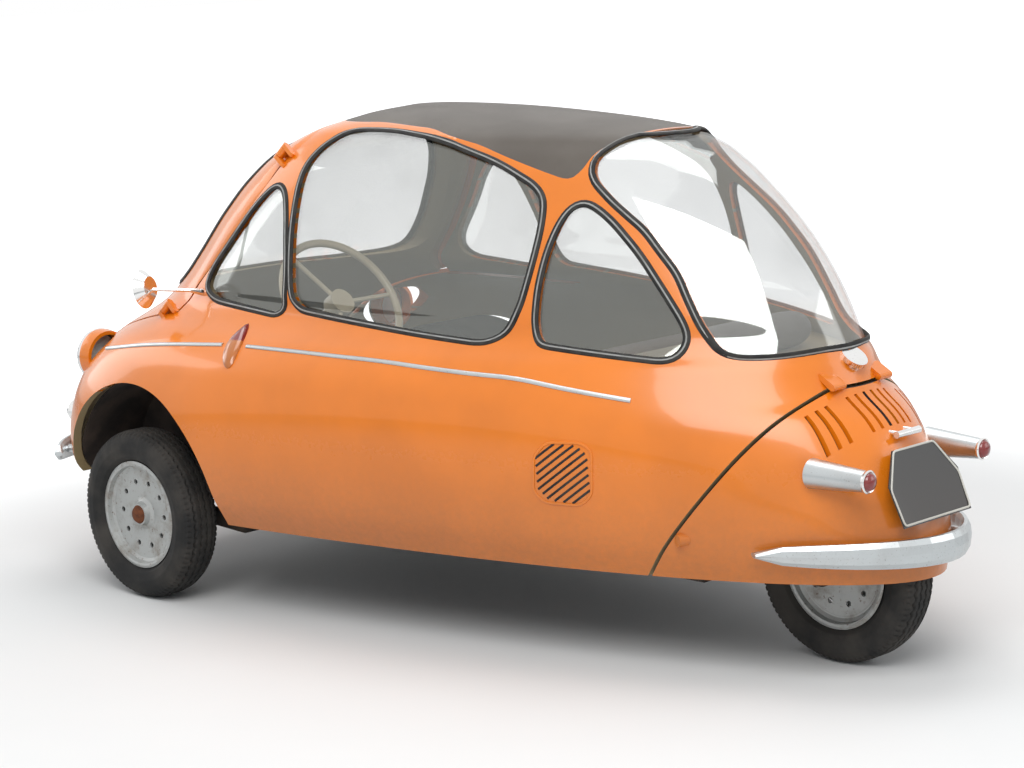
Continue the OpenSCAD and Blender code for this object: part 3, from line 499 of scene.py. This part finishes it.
def dress(piece, slot, body="root", finish=None, angle=35.0):
    """Smooth shading, a finish, and the body that the piece rides on; a helper stays without a slot."""
    piece.data.shade_smooth()
    piece.data.set_sharp_from_angle(angle=math.radians(angle))
    if slot:
        piece.data.materials.clear()
        piece.data.materials.append(MAT[finish or slot])
        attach(piece, body)
    return piece


def grid_faces(rows, cols, wrap_rows=False, wrap_cols=True):
    """Faces of a grid of points stored row by row."""
    j = np.arange(rows if wrap_rows else rows - 1)[:, None]
    i = np.arange(cols if wrap_cols else cols - 1)[None, :]
    a, b = j * cols + i, j * cols + (i + 1) % cols
    k = (j + 1) % rows
    c, d = k * cols + (i + 1) % cols, k * cols + i
    return np.stack([a, b, c, d], -1).reshape(-1, 4).tolist()


def revolve(name, profile, place, along, slot, body="root", finish=None, count=64, closed=True, angle=35.0):
    """A turned piece: each profile point (radius, height) goes round the axis at its own radius."""
    profile = np.array(profile, float)
    w = np.array(along, float) / np.linalg.norm(along)
    u = np.cross(w, [0.0, 0.0, 1.0] if abs(w[2]) < 0.9 else [1.0, 0.0, 0.0])
    u /= np.linalg.norm(u)
    v = np.cross(w, u)
    a = np.linspace(0, 2 * np.pi, count, endpoint=False)
    circle = np.cos(a)[:, None] * u + np.sin(a)[:, None] * v
    points = np.array(place) + profile[:, 0, None, None] * circle + profile[:, 1, None, None] * w
    return make(name, points, grid_faces(len(profile), count, wrap_rows=closed), slot, body, finish, angle)


def sweep(name, line, section, slot, normals, body="root", finish=None, closed=False, scale=None, angle=35.0):
    """A profile carried along a line: its first number goes sideways, its second along the normal."""
    line, section = np.asarray(line, float), np.asarray(section, float)
    ahead = (np.roll(line, -1, 0) - np.roll(line, 1, 0)) if closed else np.gradient(line, axis=0)
    ahead /= np.linalg.norm(ahead, axis=1, keepdims=True)
    normals = np.broadcast_to(np.asarray(normals, float), line.shape)
    normals = normals - (normals * ahead).sum(1, keepdims=True) * ahead
    normals = normals / np.linalg.norm(normals, axis=1, keepdims=True)
    side = np.cross(ahead, normals)
    size = np.ones(len(line)) if scale is None else np.asarray(scale, float)
    points = (line[:, None] + size[:, None, None] * (section[None, :, 0, None] * side[:, None]
                                                     + section[None, :, 1, None] * normals[:, None]))
    if not closed:
        middle = section.mean(0)
        ends = [line[k] + size[k] * (middle[0] * side[k] + middle[1] * normals[k]) for k in (0, -1)]
        points = np.concatenate([np.broadcast_to(ends[0], points[:1].shape), points,
                                 np.broadcast_to(ends[1], points[:1].shape)])
    faces = grid_faces(len(points), len(section), wrap_rows=closed)
    return make(name, points, faces, slot, body, finish, angle)


def oval(width, height, count=12, lift=0.0):
    """A closed oval profile, width across and height thick, with its middle lifted off the line."""
    a = np.linspace(0, 2 * np.pi, count, endpoint=False)
    return np.stack([width / 2 * np.cos(a), lift + height / 2 * np.sin(a)], -1)


def rounded(corners, radius, close=True, step=6.0):
    """A line through corners, each rounded by an arc-like curve that starts radius before it, with
    points about step apart."""
    corners = np.asarray(corners, float)
    n = len(corners)
    out = []
    t = np.linspace(0, 1, 7)[:, None]
    for k in range(n):
        here, before, after = corners[k], corners[k - 1], corners[(k + 1) % n]
        if not close and k in (0, n - 1):
            out.append(here[None])
            continue
        back, on = before - here, after - here
        a = here + back * min(0.48, radius / np.linalg.norm(back))
        b = here + on * min(0.48, radius / np.linalg.norm(on))
        out.append((1 - t) ** 2 * a + 2 * t * (1 - t) * here + t**2 * b)
    line = np.concatenate(out + ([out[0][:1]] if close else []))
    keep = np.concatenate([[True], np.linalg.norm(np.diff(line, axis=0), axis=1) > 1e-6])
    line = line[keep]
    length = np.concatenate([[0], np.linalg.norm(np.diff(line, axis=0), axis=1).cumsum()])
    count = max(8, int(length[-1] / step))
    at = np.linspace(0, length[-1], count + 1)
    made = np.stack([np.interp(at, length, line[:, c]) for c in range(line.shape[1])], -1)
    return made[:-1] if close else made


def prism(outline, axis, low, high):
    """A closed block: a flat outline carried from low to high along y (drawn as x, z) or x (y, z)."""
    outline = np.asarray(outline, float)
    n = len(outline)
    flat = [np.full(n, low), np.full(n, high)]
    ends = [np.stack([outline[:, 0], f, outline[:, 1]] if axis == "y"
                     else [f, outline[:, 0], outline[:, 1]], -1)
            for f in flat]
    faces = grid_faces(2, n) + [list(range(n))[::-1], list(range(n, 2 * n))]
    return make("cutter", np.concatenate(ends), faces, None)


def carve(piece, *steps):
    """Cuts, joins or keeps with other closed shapes, one after another; the shapes are then removed."""
    for operation, cutter in steps:
        modifier = piece.modifiers.new("carve", "BOOLEAN")
        modifier.operation, modifier.solver, modifier.object = operation, "MANIFOLD", cutter
        cutter.hide_render = True
    bpy.context.view_layer.update()
    cut = bpy.data.meshes.new_from_object(piece.evaluated_get(bpy.context.evaluated_depsgraph_get()))
    piece.modifiers.clear()
    piece.data = cut
    for _, cutter in steps:
        if cutter.name in bpy.data.objects:
            bpy.data.objects.remove(cutter)
    tidy(piece)
    return piece


def layer(name, outer, inner):
    """The closed wall between two depths under the skin, open at the sill."""
    out, inn = rings(outer), rings(inner)
    rows, cols = out.shape[:2]
    points = np.concatenate([inn[::-1].reshape(-1, 3), out.reshape(-1, 3)])
    faces = grid_faces(2 * rows, cols, wrap_rows=False)
    top = [inn[-1].mean(0), out[-1].mean(0)]
    first, last = len(points), len(points) + 1
    i = np.arange(cols)
    faces += np.stack([np.full(cols, first), (i + 1) % cols, i], -1).tolist()
    base = (2 * rows - 1) * cols
    faces += np.stack([np.full(cols, last), base + i, base + (i + 1) % cols], -1).tolist()
    return make(name, np.concatenate([points, top]), faces, None, clean=False)


shell = layer("trial", 0, WALL)
print("one wall has", len(shell.data.polygons), "faces")
bpy.data.objects.remove(shell)

# %% [markdown]
# ## Panels
# The wall is cut with straight blocks, as a stencil cuts dough: window outlines and the tail lid's
# seam are drawn from the side, the door and the windscreen from the front. What is cut out of one
# panel is kept in its neighbour, with a running gap round the door and the lid.

# %% Outlines, in millimetres
SIDE_GLASS = [[350, 766], [-100, 738], [-305, 728], [-350, 800], [-365, 900], [-366, 1000], [-344, 1072],
              [-200, 1132], [0, 1180], [160, 1194], [320, 1191], [408, 1110], [395, 985]]
QUARTER_GLASS = [[-398, 735], [-738, 708], [-746, 770], [-681, 855], [-607, 939], [-519, 1014], [-450, 1052],
                 [-412, 1028], [-394, 950], [-389, 840]]
FRONT_QUARTER = [[372, 744], [655, 762], [698, 786], [692, 830], [613, 925], [548, 1010], [490, 1058],
                 [447, 1044], [418, 985], [384, 870]]
DOME_EDGE = [[-478, 1195], [-445, 1176], [-424, 1137], [-446, 1096], [-503, 1053], [-602, 988], [-695, 897],
             [-735, 831], [-775, 768], [-812, 729], [-850, 716], [-920, 716], [-1010, 731]]
ROOF_EDGE = [[430, 1204], [231, 1208], [51, 1199], [-129, 1167], [-287, 1123], [-397, 1093], [-416, 1120],
             [-418, 1145], [-433, 1170], [-468, 1197]]
DOOR_HALF = [[0, 262], [210, 264], [290, 296], [350, 380], [402, 480], [448, 590], [484, 680], [491, 722],
             [452, 774], [422, 921], [388, 1030], [346, 1111], [309, 1160], [240, 1190], [120, 1200],
             [0, 1203]]
SCREEN_HALF = [[0, 762], [280, 764], [392, 778], [396, 830], [378, 921], [345, 1020], [296, 1095],
               [240, 1136], [140, 1152], [0, 1156]]
DOOR_BACK = [[445, 1400], [447, 1196], [455, 1165], [500, 1113], [558, 1030], [640, 921], [700, 845],
             [765, 774], [786, 735], [790, 718], [812, 700], [812, 150], [1500, 150], [1500, 1400]]
LID_TOP, LID_FOOT = np.array([-1008.0, 641.0]), np.array([-708.0, 228.0])
ARCH = (770.0, 262.0, 302.0)
HEADLAMP = (1088.0, 522.0, 588.0)


def both_halves(points):
    """A front-view outline from its left half."""
    half = np.array(points, float)
    return np.concatenate([half, half[-2:0:-1] * [-1, 1]])


def grow(outline, by):
    """The outline moved outwards by a distance, square to its own direction."""
    line = np.asarray(outline, float)
    ahead = np.roll(line, -1, 0) - np.roll(line, 1, 0)
    ahead /= np.linalg.norm(ahead, axis=1, keepdims=True)
    out = np.stack([ahead[:, 1], -ahead[:, 0]], -1)
    area = (line[:, 0] * np.roll(line[:, 1], -1) - np.roll(line[:, 0], -1) * line[:, 1]).sum()
    return line + out * by * np.sign(area)


DOOR_LINE = rounded(both_halves(DOOR_HALF), 45, step=14)
SCREEN_LINE = rounded(both_halves(SCREEN_HALF), 60, step=14)
WINDOW = {"side": rounded(SIDE_GLASS, 60, step=12), "rear_quarter": rounded(QUARTER_GLASS, 45, step=10),
          "front_quarter": rounded(FRONT_QUARTER, 40, step=10)}


def door_block(by):
    """The door's region: its front-view outline, no further back than the pillar."""
    block = prism(grow(DOOR_LINE, by), "x", 200, 1500)
    limit = np.array(DOOR_BACK, float) - [[by, 0]]
    return carve(block, ("INTERSECT", prism(limit, "y", -790, 790)))


def above_dome():
    edge = np.concatenate([rounded(DOME_EDGE, 30, close=False, step=12),
                           [[-1300, 760], [-1300, 1400], [-478, 1400]]])
    return prism(edge, "y", -810, 810)


def above_roof():
    edge = np.concatenate([rounded(ROOF_EDGE, 30, close=False, step=12), [[-468, 1400], [430, 1400]]])
    return prism(edge, "y", -805, 805)


def behind_seam(gap):
    """Everything behind the sloping seam of the tail lid, less a gap."""
    run = LID_TOP - LID_FOOT
    normal = np.array([-run[1], run[0]]) / np.linalg.norm(run)
    a, b = LID_TOP + normal * gap, LID_FOOT + normal * gap
    return prism([a - [0, gap / 2], b - run * 0.2, [-1500, 100], [-1500, a[1] - gap / 2]], "y", -815, 815)


def arch_block(side):
    a = np.linspace(0, np.pi, 60)
    x, z, r = ARCH
    outline = np.concatenate([np.stack([x + r * np.cos(a), z + r * np.sin(a)], -1),
                              [[x - r + 7, z - 205], [x + r - 7, z - 205]]])
    return prism(outline, "y", *sorted((side * 424.0, side * 820.0)))


def drum(place, along, radius, length, count=48):
    """A round cutter centred on a place."""
    return revolve("cutter", [[0, -length / 2], [radius, -length / 2], [radius, length / 2], [0, length / 2]],
                   place, along, None, count=count, closed=False)


def two_sided(piece, slot, body, inner, depth):
    """Gives faces that lie deeper than depth under the skin the second finish."""
    dress(piece, slot, body)
    piece.data.materials.append(MAT[inner])
    n = len(piece.data.polygons)
    middle = np.empty(n * 3)
    piece.data.polygons.foreach_get("center", middle)
    middle = middle.reshape(-1, 3) / MM
    step = 1.0
    x, y, z = middle.T
    gap = half_width(x, z) - np.abs(y)
    gx = (half_width(x + step, z) - half_width(x - step, z)) / (2 * step)
    gz = (half_width(x, z + step) - half_width(x, z - step)) / (2 * step)
    gz = np.where(z > 1225, 12.0, gz)
    depth_under = np.where(z > CROWN - 2, 0, gap / np.sqrt(1 + gx**2 + gz**2))
    piece.data.polygons.foreach_set("material_index", (depth_under > depth).astype(np.int32))
    return piece


print("door outline", len(DOOR_LINE), "points")

# %% Cut the panels
body_panel = layer("body_panel", 0, WALL)
nose_cut = prism([[1042, 292], [1400, 266], [1400, 0], [1042, 0]], "y", -812, 812)
carve(body_panel, ("DIFFERENCE", prism(WINDOW["side"], "y", -800, 800)),
      ("DIFFERENCE", prism(WINDOW["rear_quarter"], "y", -801, 801)),
      ("DIFFERENCE", prism(WINDOW["front_quarter"], "y", -802, 802)),
      ("DIFFERENCE", above_dome()), ("DIFFERENCE", above_roof()),
      ("DIFFERENCE", behind_seam(-LID_GAP)), ("DIFFERENCE", door_block(DOOR_GAP)),
      ("DIFFERENCE", arch_block(1)), ("DIFFERENCE", arch_block(-1)),
      ("DIFFERENCE", drum(HEADLAMP, (1, 0, 0), 60.6, 240)),
      ("DIFFERENCE", drum(np.array(HEADLAMP) * [1, -1, 1], (1, 0, 0), 60.6, 240)),
      ("DIFFERENCE", nose_cut))
two_sided(body_panel, "orange_paint", "root", "tan_panel", 10.0)
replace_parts(body_panel, "body_shell")

door_panel = layer("door_panel", 0, 6)
carve(door_panel, ("INTERSECT", door_block(0)))
door_frame = layer("door_frame", 5, DOOR_WALL)
carve(door_frame, ("INTERSECT", door_block(-15)))
carve(door_panel, ("UNION", door_frame))
carve(door_panel, ("DIFFERENCE", prism(SCREEN_LINE, "x", 200, 1500)))
two_sided(door_panel, "orange_paint", "front_door", "tan_panel", 12.0)
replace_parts(door_panel, "front_door")

tail_panel = layer("tail_panel", 0, LID_WALL)
carve(tail_panel, ("INTERSECT", behind_seam(0)))
SLOT_HIGH, SLOT_LOW, SLOT_HALF = np.array([-1045, 640]), np.array([-1110, 560]), 4.5
slot_way = np.array([-1.0, 1.0]) * 56.6
slot_ends = [SLOT_HIGH + slot_way, SLOT_LOW + slot_way, SLOT_LOW - slot_way, SLOT_HIGH - slot_way]
for slot_y in [(k - 2.5) * 27 for k in range(6)] + [s * (128 + 25 * k) for s in (-1, 1) for k in range(3)]:
    carve(tail_panel, ("DIFFERENCE", prism(slot_ends, "y", slot_y - SLOT_HALF, slot_y + SLOT_HALF)))
two_sided(tail_panel, "orange_paint", "rear_lid", "underbody", 9.0)
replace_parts(tail_panel, "rear_lid")
for panel in (body_panel, door_panel, tail_panel):
    print(panel.name, len(panel.data.polygons), "faces")

# %% Panes, dome and fabric roof
def through(outline):
    """A window's outline carried across the whole car."""
    return prism(outline, "y", -800, 800)


pane_spots = (("windscreen", "clear_glass", "front_door", lambda: prism(SCREEN_LINE, "x", 200, 1500)),
              ("side_panes", "clear_glass", "root", lambda: through(WINDOW["side"])),
              ("rear_quarter_panes", "clear_glass", "root", lambda: through(WINDOW["rear_quarter"])),
              ("front_quarter_panes", "clear_glass", "root", lambda: through(WINDOW["front_quarter"])),
              ("dome", "perspex", "root", above_dome))
STANDS_FOR = {"windscreen": "windscreen", "side_panes": "side_windows",
              "rear_quarter_panes": "rear_quarter_windows",
              "front_quarter_panes": "front_quarter_windows", "dome": "rear_dome"}
for name, slot, body, block in pane_spots:
    sheet = layer(name + "_sheet" if name == "windscreen" else name, GLASS_DEPTH, GLASS_DEPTH + GLASS)
    carve(sheet, ("INTERSECT", block()))
    dress(sheet, slot, body)
    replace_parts(sheet, STANDS_FOR[name])
    print(sheet.name, len(sheet.data.polygons), "faces")
roof = layer("hood_cloth", 0, 3)
carve(roof, ("INTERSECT", above_roof()))
dress(roof, "roof_cloth", "root")
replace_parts(roof, "fabric_roof")

# %% [markdown]
# ## Rubbers round the glass
# Each window sits in a soft black rubber with a thin pale bead of filler in its groove. The line of
# the rubber is the window's outline laid on the skin, and the rubber stands square to the skin there.

# %% Rubbers and filler beads
def on_skin(x, z, side, lift=0.0):
    """Points on one side of the skin at x and z, lifted square to it, with their normals."""
    x, z = np.asarray(x, float), np.asarray(z, float)
    points = np.stack([x, side * half_width(x, z), z], -1)
    normals = outward(points)
    return points + normals * lift, normals


def on_nose(y, z, lift=0.0):
    """Points on the front of the skin at y and z, lifted square to it, with their normals."""
    y, z = np.asarray(y, float), np.asarray(z, float)
    points = np.stack([end_x(y, z, 1), y, z], -1)
    step = 1.0
    slope_y = (end_x(y + step, z, 1) - end_x(y - step, z, 1)) / (2 * step)
    slope_z = (end_x(y, z + step, 1) - end_x(y, z - step, 1)) / (2 * step)
    normals = np.stack([np.ones_like(y), -slope_y, -slope_z], -1)
    normals /= np.linalg.norm(normals, axis=1, keepdims=True)
    return points + normals * lift, normals


def rubber(name, points, normals, body="root", closed=True):
    """A black rubber along a line, with the filler bead on top of it."""
    sweep(name + "_rubber", points, oval(RUBBER_WIDE, RUBBER_THICK), "black_rubber", normals, body,
          closed=closed)
    sweep(name + "_bead", points + normals * BEAD_LIFT, oval(4.5, 3.0, 8), "black_rubber", normals, body,
          finish="grey_filler", closed=closed)


RUBBER_WIDE, RUBBER_THICK, BEAD_LIFT = 19.0, 9.0, 3.8
for side, hand in ((1, "left"), (-1, "right")):
    for window, line in WINDOW.items():
        rubber(f"{window}_{hand}", *on_skin(line[:, 0], line[:, 1], side))
rubber("screen", *on_nose(SCREEN_LINE[:, 0], SCREEN_LINE[:, 1]), body="front_door")


def dome_loop():
    """The dome's edge: down the left side, across the tail, up the right side, across the roof."""
    line = rounded(DOME_EDGE, 30, close=False, step=12)
    keep = half_width(line[:, 0], line[:, 1]) > 45
    line = line[keep]
    width = half_width(line[:, 0], line[:, 1])
    left = np.stack([line[:, 0], width, line[:, 1]], -1)
    rows = []
    for k in (-1, 0):
        y = np.linspace(width[k], -width[k], 9)[1:-1]
        z = np.full_like(y, line[k, 1])
        rows.append(np.stack([end_x(y, z, -1), y, z], -1))
    loop = np.concatenate([left, rows[0], (left * [1, -1, 1])[::-1], rows[1][::-1]])
    away = loop - np.array([loop[:, 0].mean() + 200, 0, 850])
    return loop, away / np.linalg.norm(away, axis=1, keepdims=True)


rubber("dome", *dome_loop())

# %% [markdown]
# ## Bright trim, louvres and slots
# A half-round strip runs along each side in two lengths, broken by the indicator. The engine
# breathes through a slanted louvre grille on the left; its slots are not cut but laid on the skin as
# thin black strips, painted shade for the dark gaps.

# %% Trim strips and louvres
STRIP_FRONT = [[960, 626], [796, 652], [671, 665], [486, 678]]
STRIP_REAR = [[399, 681], [352, 682], [215, 683], [-36, 681], [-290, 669], [-406, 666], [-516, 650],
              [-676, 629]]
for side, hand in ((1, "left"), (-1, "right")):
    for part, corners in (("front", STRIP_FRONT), ("rear", STRIP_REAR)):
        line = rounded(corners, 60, close=False, step=14)
        points, normals = on_skin(line[:, 0], line[:, 1], side, 1.0)
        sweep(f"strip_{part}_{hand}", points, oval(11, 7), "silver_paint", normals)

LOUVRE = np.array([[-494, 390], [-578, 390], [-605, 415], [-609, 516], [-583, 534], [-502, 530],
                   [-473, 495], [-467, 414]], float)


def across(outline, z_at, slant):
    """Where a slanted line crosses an outline: its two ends, shortened a little."""
    hits = []
    for k in range(len(outline)):
        a, b = outline[k - 1], outline[k]
        fa, fb = a[1] - z_at - slant * a[0], b[1] - z_at - slant * b[0]
        if fa * fb < 0:
            hits.append(a + (b - a) * fa / (fa - fb))
    return np.array([hits[0] + (hits[1] - hits[0]) * t for t in np.linspace(0.08, 0.92, 9)])


rim_line = rounded(LOUVRE, 14, step=8)
points, normals = on_skin(rim_line[:, 0], rim_line[:, 1], 1, 0.5)
sweep("louvre_rim", points, oval(7, 5, 8), "orange_paint", normals, closed=True)
SLANT = -0.8
# Each louvre slot is a thin black strip on the skin: painted shade where the gap would lie dark.
for k, middle_z in enumerate(np.linspace(376, 541, 10)):
    slot_line = across(LOUVRE, middle_z + SLANT * 538, SLANT)
    points, normals = on_skin(slot_line[:, 0], slot_line[:, 1], 1, 0.4)
    sweep(f"louvre_slot_shade_{k}", points, oval(5.5, 2.5, 8), "black_rubber", normals)
print("strips and louvres done")

# %% [markdown]
# ## Lamps
# Each headlamp is a painted bucket with a bright rim and a crowned glass. Indicators are flat
# teardrops, amber with a red top. Tail lamps wear a dark red glass in their silver housing.

# %% Lamps
for side, hand in ((1, "left"), (-1, "right")):
    place = np.array(HEADLAMP) * [1, side, 1]
    revolve(f"headlamp_bucket_{hand}", [[56, -40], [66, -40], [70, -16], [69, -4], [58, -4]], place,
            (1, 0, 0), "orange_paint")
    revolve(f"headlamp_rim_{hand}", [[55, 1], [69, -5], [70.5, 0], [68, 7], [62, 12], [56, 10]], place,
            (1, 0, 0), "bright_metal")
    glass = revolve(f"headlamp_glass_{hand}", [[0.01, 25], [14, 24.2], [28, 21.5], [42, 17], [52, 12],
                                               [57, 7], [57, 1], [0.01, 1]], place, (1, 0, 0), "lamp_glass",
                    finish="clear_lens", closed=False)
    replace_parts(glass, "headlamps")


def teardrop(name, side):
    """A flat pointed lens on the skin: across by along, thin at its rim and crowned in the middle."""
    tall, wide, thick = 45.0, 26.0, 11.0
    a = np.linspace(0, 2 * np.pi, 48, endpoint=False)
    up = np.sin(a)
    half = wide * np.cos(a) * np.where(up > 0, 1 - 0.55 * up**2, 1.0)
    share = np.linspace(0.001, 1, 10)
    x = 442 + share[:, None] * (half + 0.55 * tall * up)
    z = 677 + share[:, None] * tall * up
    crown = 2 + thick * np.sqrt(np.clip(1 - share**2, 0, None))
    top, _ = on_skin(x.ravel(), z.ravel(), side)
    normal = outward(top)
    points = (top + normal * np.repeat(crown, len(a))[:, None]).reshape(10, 48, 3)
    foot = (top - normal * 1.5).reshape(10, 48, 3)[::-1]
    lens = make(name, np.concatenate([points, foot]), grid_faces(20, 48), "amber_lens")
    lens.data.materials.append(MAT["red_lens"])
    for face in lens.data.polygons:
        face.material_index = int(face.center[2] / MM > 694)
    return lens


for side, hand in ((1, "left"), (-1, "right")):
    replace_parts(teardrop(f"indicator_{hand}", side), "side_indicators")
for side, hand in ((1, "left"), (-1, "right")):
    revolve(f"tail_glass_{hand}", [[0.01, 15], [8, 14.4], [16, 11], [20, 5], [20, 0.5], [0.01, 0.5]],
            (-1196, side * 214, 480), (-1, 0, 0), "lamp_glass", "rear_lid", "red_lens", closed=False)
    revolve(f"tail_ring_{hand}", [[19, -2], [25, -2], [26, 3], [23, 6], [20, 4]], (-1195, side * 214, 480),
            (-1, 0, 0), "bright_metal", "rear_lid")
plate_out = np.array([-0.917, 0.0, 0.399])
plate_corners = np.array([[-1218, 122, 366], [-1184, 126, 441], [-1152, 74, 515], [-1152, -74, 515],
                          [-1184, -126, 441], [-1218, -122, 366]], float)
plate_line = rounded(plate_corners, 8, step=6) + plate_out * 9
sweep("plate_rim", plate_line, oval(5, 4, 8), "plate_black", plate_out, "rear_lid", "pale_trim", closed=True)
print("lamps and plate rim done")

# %% [markdown]
# ## Tyres, caps and plate
# A tyre is a ring of sections. Its tread is cut by zigzag grooves that run round it, and short
# sipes cross the shoulders. A rusty domed cap covers each front hub; the rear axle runs through.

# %% Tyres and caps
GROOVE_DEEP, GROOVE_HALF, SIPE_DEEP, ZIG = 5.0, 2.2, 3.5, 3.2
TYRE_SECTION = np.array([[129, -32], [140, -38], [150, -50], [172, -56], [190, -54], [208, -47], [215, -34],
                         [217.5, -22], [217.5, 22], [215, 34], [208, 47], [190, 54], [172, 56], [150, 50],
                         [140, 38], [129, 32]], float)


def tyre(name, wheel, body, node):
    """Four zigzag grooves run round the tread, and short sipes cross both shoulders."""
    length = np.concatenate([[0], np.linalg.norm(np.diff(TYRE_SECTION, axis=0), axis=1).cumsum()])
    at = np.linspace(0, length[-1], 110)
    radius, across_y = (np.interp(at, length, TYRE_SECTION[:, c]) for c in (0, 1))
    a = np.linspace(0, 2 * np.pi, 360, endpoint=False)
    zig = ZIG * (2 / np.pi) * np.arcsin(np.sin(a * 60))
    r = np.repeat(radius[None], len(a), 0)
    y = np.repeat(across_y[None], len(a), 0)
    tread = (r > 214)
    for middle in (-27, -9, 9, 27):
        r = r - GROOVE_DEEP * (tread & (np.abs(y - middle - zig[:, None]) < GROOVE_HALF))
    sipe = (np.abs(y) > 37) & (np.abs(y) < 50) & (r > 203) & (np.sin(a * 90) > 0.55)[:, None]
    r = r - SIPE_DEEP * sipe
    points = np.stack([wheel[0] + r * np.cos(a)[:, None], wheel[1] + y,
                       wheel[2] + r * np.sin(a)[:, None]], -1)
    made = make(name, points, grid_faces(360, 110, wrap_rows=True), "tyre_rubber", body, angle=50)
    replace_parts(made, node)


def cap(name, wheel, side, body):
    """A domed dust cap on the wheel's outer face."""
    revolve(name, [[0.01, 52], [10, 51], [19, 47], [24, 40], [25, 30], [0.01, 30]], wheel, (0, side, 0),
            "wheel_silver", body, "rust", closed=False)


for wheel_name, hand in (("front_left", 1), ("front_right", -1), ("rear", 1)):
    spot = centre("tyre_" + wheel_name) / MM
    tyre("tread_" + wheel_name, spot, "wheel_" + wheel_name, "tyre_" + wheel_name)
    if wheel_name != "rear":
        cap("cap_" + wheel_name, spot, hand, "wheel_" + wheel_name)
print("tyres done")

# %% [markdown]
# ## Seats and roll
# A cushion is a soft box: a rounded-off block whose faces are crowned and whose sides draw in
# between the corners. It has no seam or piping. The hood is one thin sheet over the roof's frame;
# it is cut with the panes, and here its points are only read.

# %% Cushions and roll
CUSHION_POWER, CUSHION_WAIST, CUSHION_CLEAR = 0.3, 0.035, 2


def cushion(name, node, crown):
    """A block squared off by a small power of sine and cosine, lower towards its edges by the crown
    times 1 - (1 - x^2)(1 - y^2), and drawn in at its waist by a share of 1 - z^2."""
    low, high = (np.array(c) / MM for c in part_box(node))
    half = (high - low) / 2 - CUSHION_CLEAR
    middle = (high + low) / 2
    around = np.linspace(0, 2 * np.pi, 120, endpoint=False)
    u, v = np.meshgrid(np.linspace(0, np.pi, 60), around, indexing="ij")

    def soft(value):
        return np.sign(value) * np.abs(value) ** CUSHION_POWER

    ring = np.abs(np.sin(u)) ** CUSHION_POWER
    x, y, z = ring * soft(np.cos(v)), ring * soft(np.sin(v)), soft(np.cos(u))
    pull = 1 - CUSHION_WAIST * (1 - z**2)
    swell = 1 - crown * (1 - (1 - x**2) * (1 - y**2))
    points = np.stack([x * pull * half[0], y * pull * half[1], z * half[2] * swell], -1) + middle
    made = make(name, points, grid_faces(60, 120), "seat_cloth", angle=60)
    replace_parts(made, node)


cushion("seat_cushion", "bench_cushion", 0.10)
cushion("seat_back", "bench_back", 0.06)
roll_low, roll_high = (np.array(c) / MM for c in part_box("rear_roll"))
roll_middle, roll_half = (roll_low + roll_high) / 2, (roll_high - roll_low) / 2
share = np.linspace(0, 1, 40)
roll_y = (share * 2 - 1) * roll_half[1]
roll_r = roll_half[2] * (0.03 + 0.95 * (1 - np.abs(share * 2 - 1) ** 8) ** 0.5)
roll = revolve("soft_roll", np.stack([roll_r, roll_y], -1), roll_middle, (0, 1, 0), "roof_cloth",
               closed=False)
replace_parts(roll, "rear_roll")
hood = bpy.data.objects["hood_cloth"]
corners = np.array([v.co for v in hood.data.vertices])

# %% [markdown]
# ## Finishes of the pieces kept from the frame
# Pieces whose shape is already right keep their mesh and get their finish here.

# %% Finishes of the kept pieces
KEPT = {"floor_pan": "underbody", "chassis_frame": "black_iron", "front_wheelhouses": "underbody",
        "rear_bulkhead": "tan_panel", "door_hinge_brackets": "orange_paint",
        "door_hinge_arms": "orange_paint",
        "door_handle": "bright_metal", "wiper": "black_iron", "lid_hinges": "orange_paint",
        "lid_handle": "bright_metal", "lid_latches": "orange_paint", "front_lamps": "bright_metal",
        "tail_lamps": "silver_paint", "front_bumpers": "silver_paint", "rear_bumper": "silver_paint",
        "number_plate": "plate_black", "filler_cap": "bright_metal", "wing_mirror": "bright_metal",
        "front_suspension": "black_iron", "knuckle_left": "black_iron", "knuckle_right": "black_iron",
        "wheel_front_left": "wheel_silver", "wheel_front_right": "wheel_silver", "wheel_rear": "wheel_silver",
        "rear_swing_arm": "black_iron", "engine_block": "engine_metal", "steering_column": "cream_plastic",
        "steering_wheel": "cream_plastic"}
for node, finish in KEPT.items():
    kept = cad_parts[node]
    if not kept.data.materials:
        kept.data.materials.append(MAT[finish])
    for index in range(len(kept.data.materials)):
        kept.data.materials[index] = MAT[finish]
    kept.data.shade_smooth()
    kept.data.set_sharp_from_angle(angle=math.radians(30))
print(len(KEPT), "pieces kept from the frame")
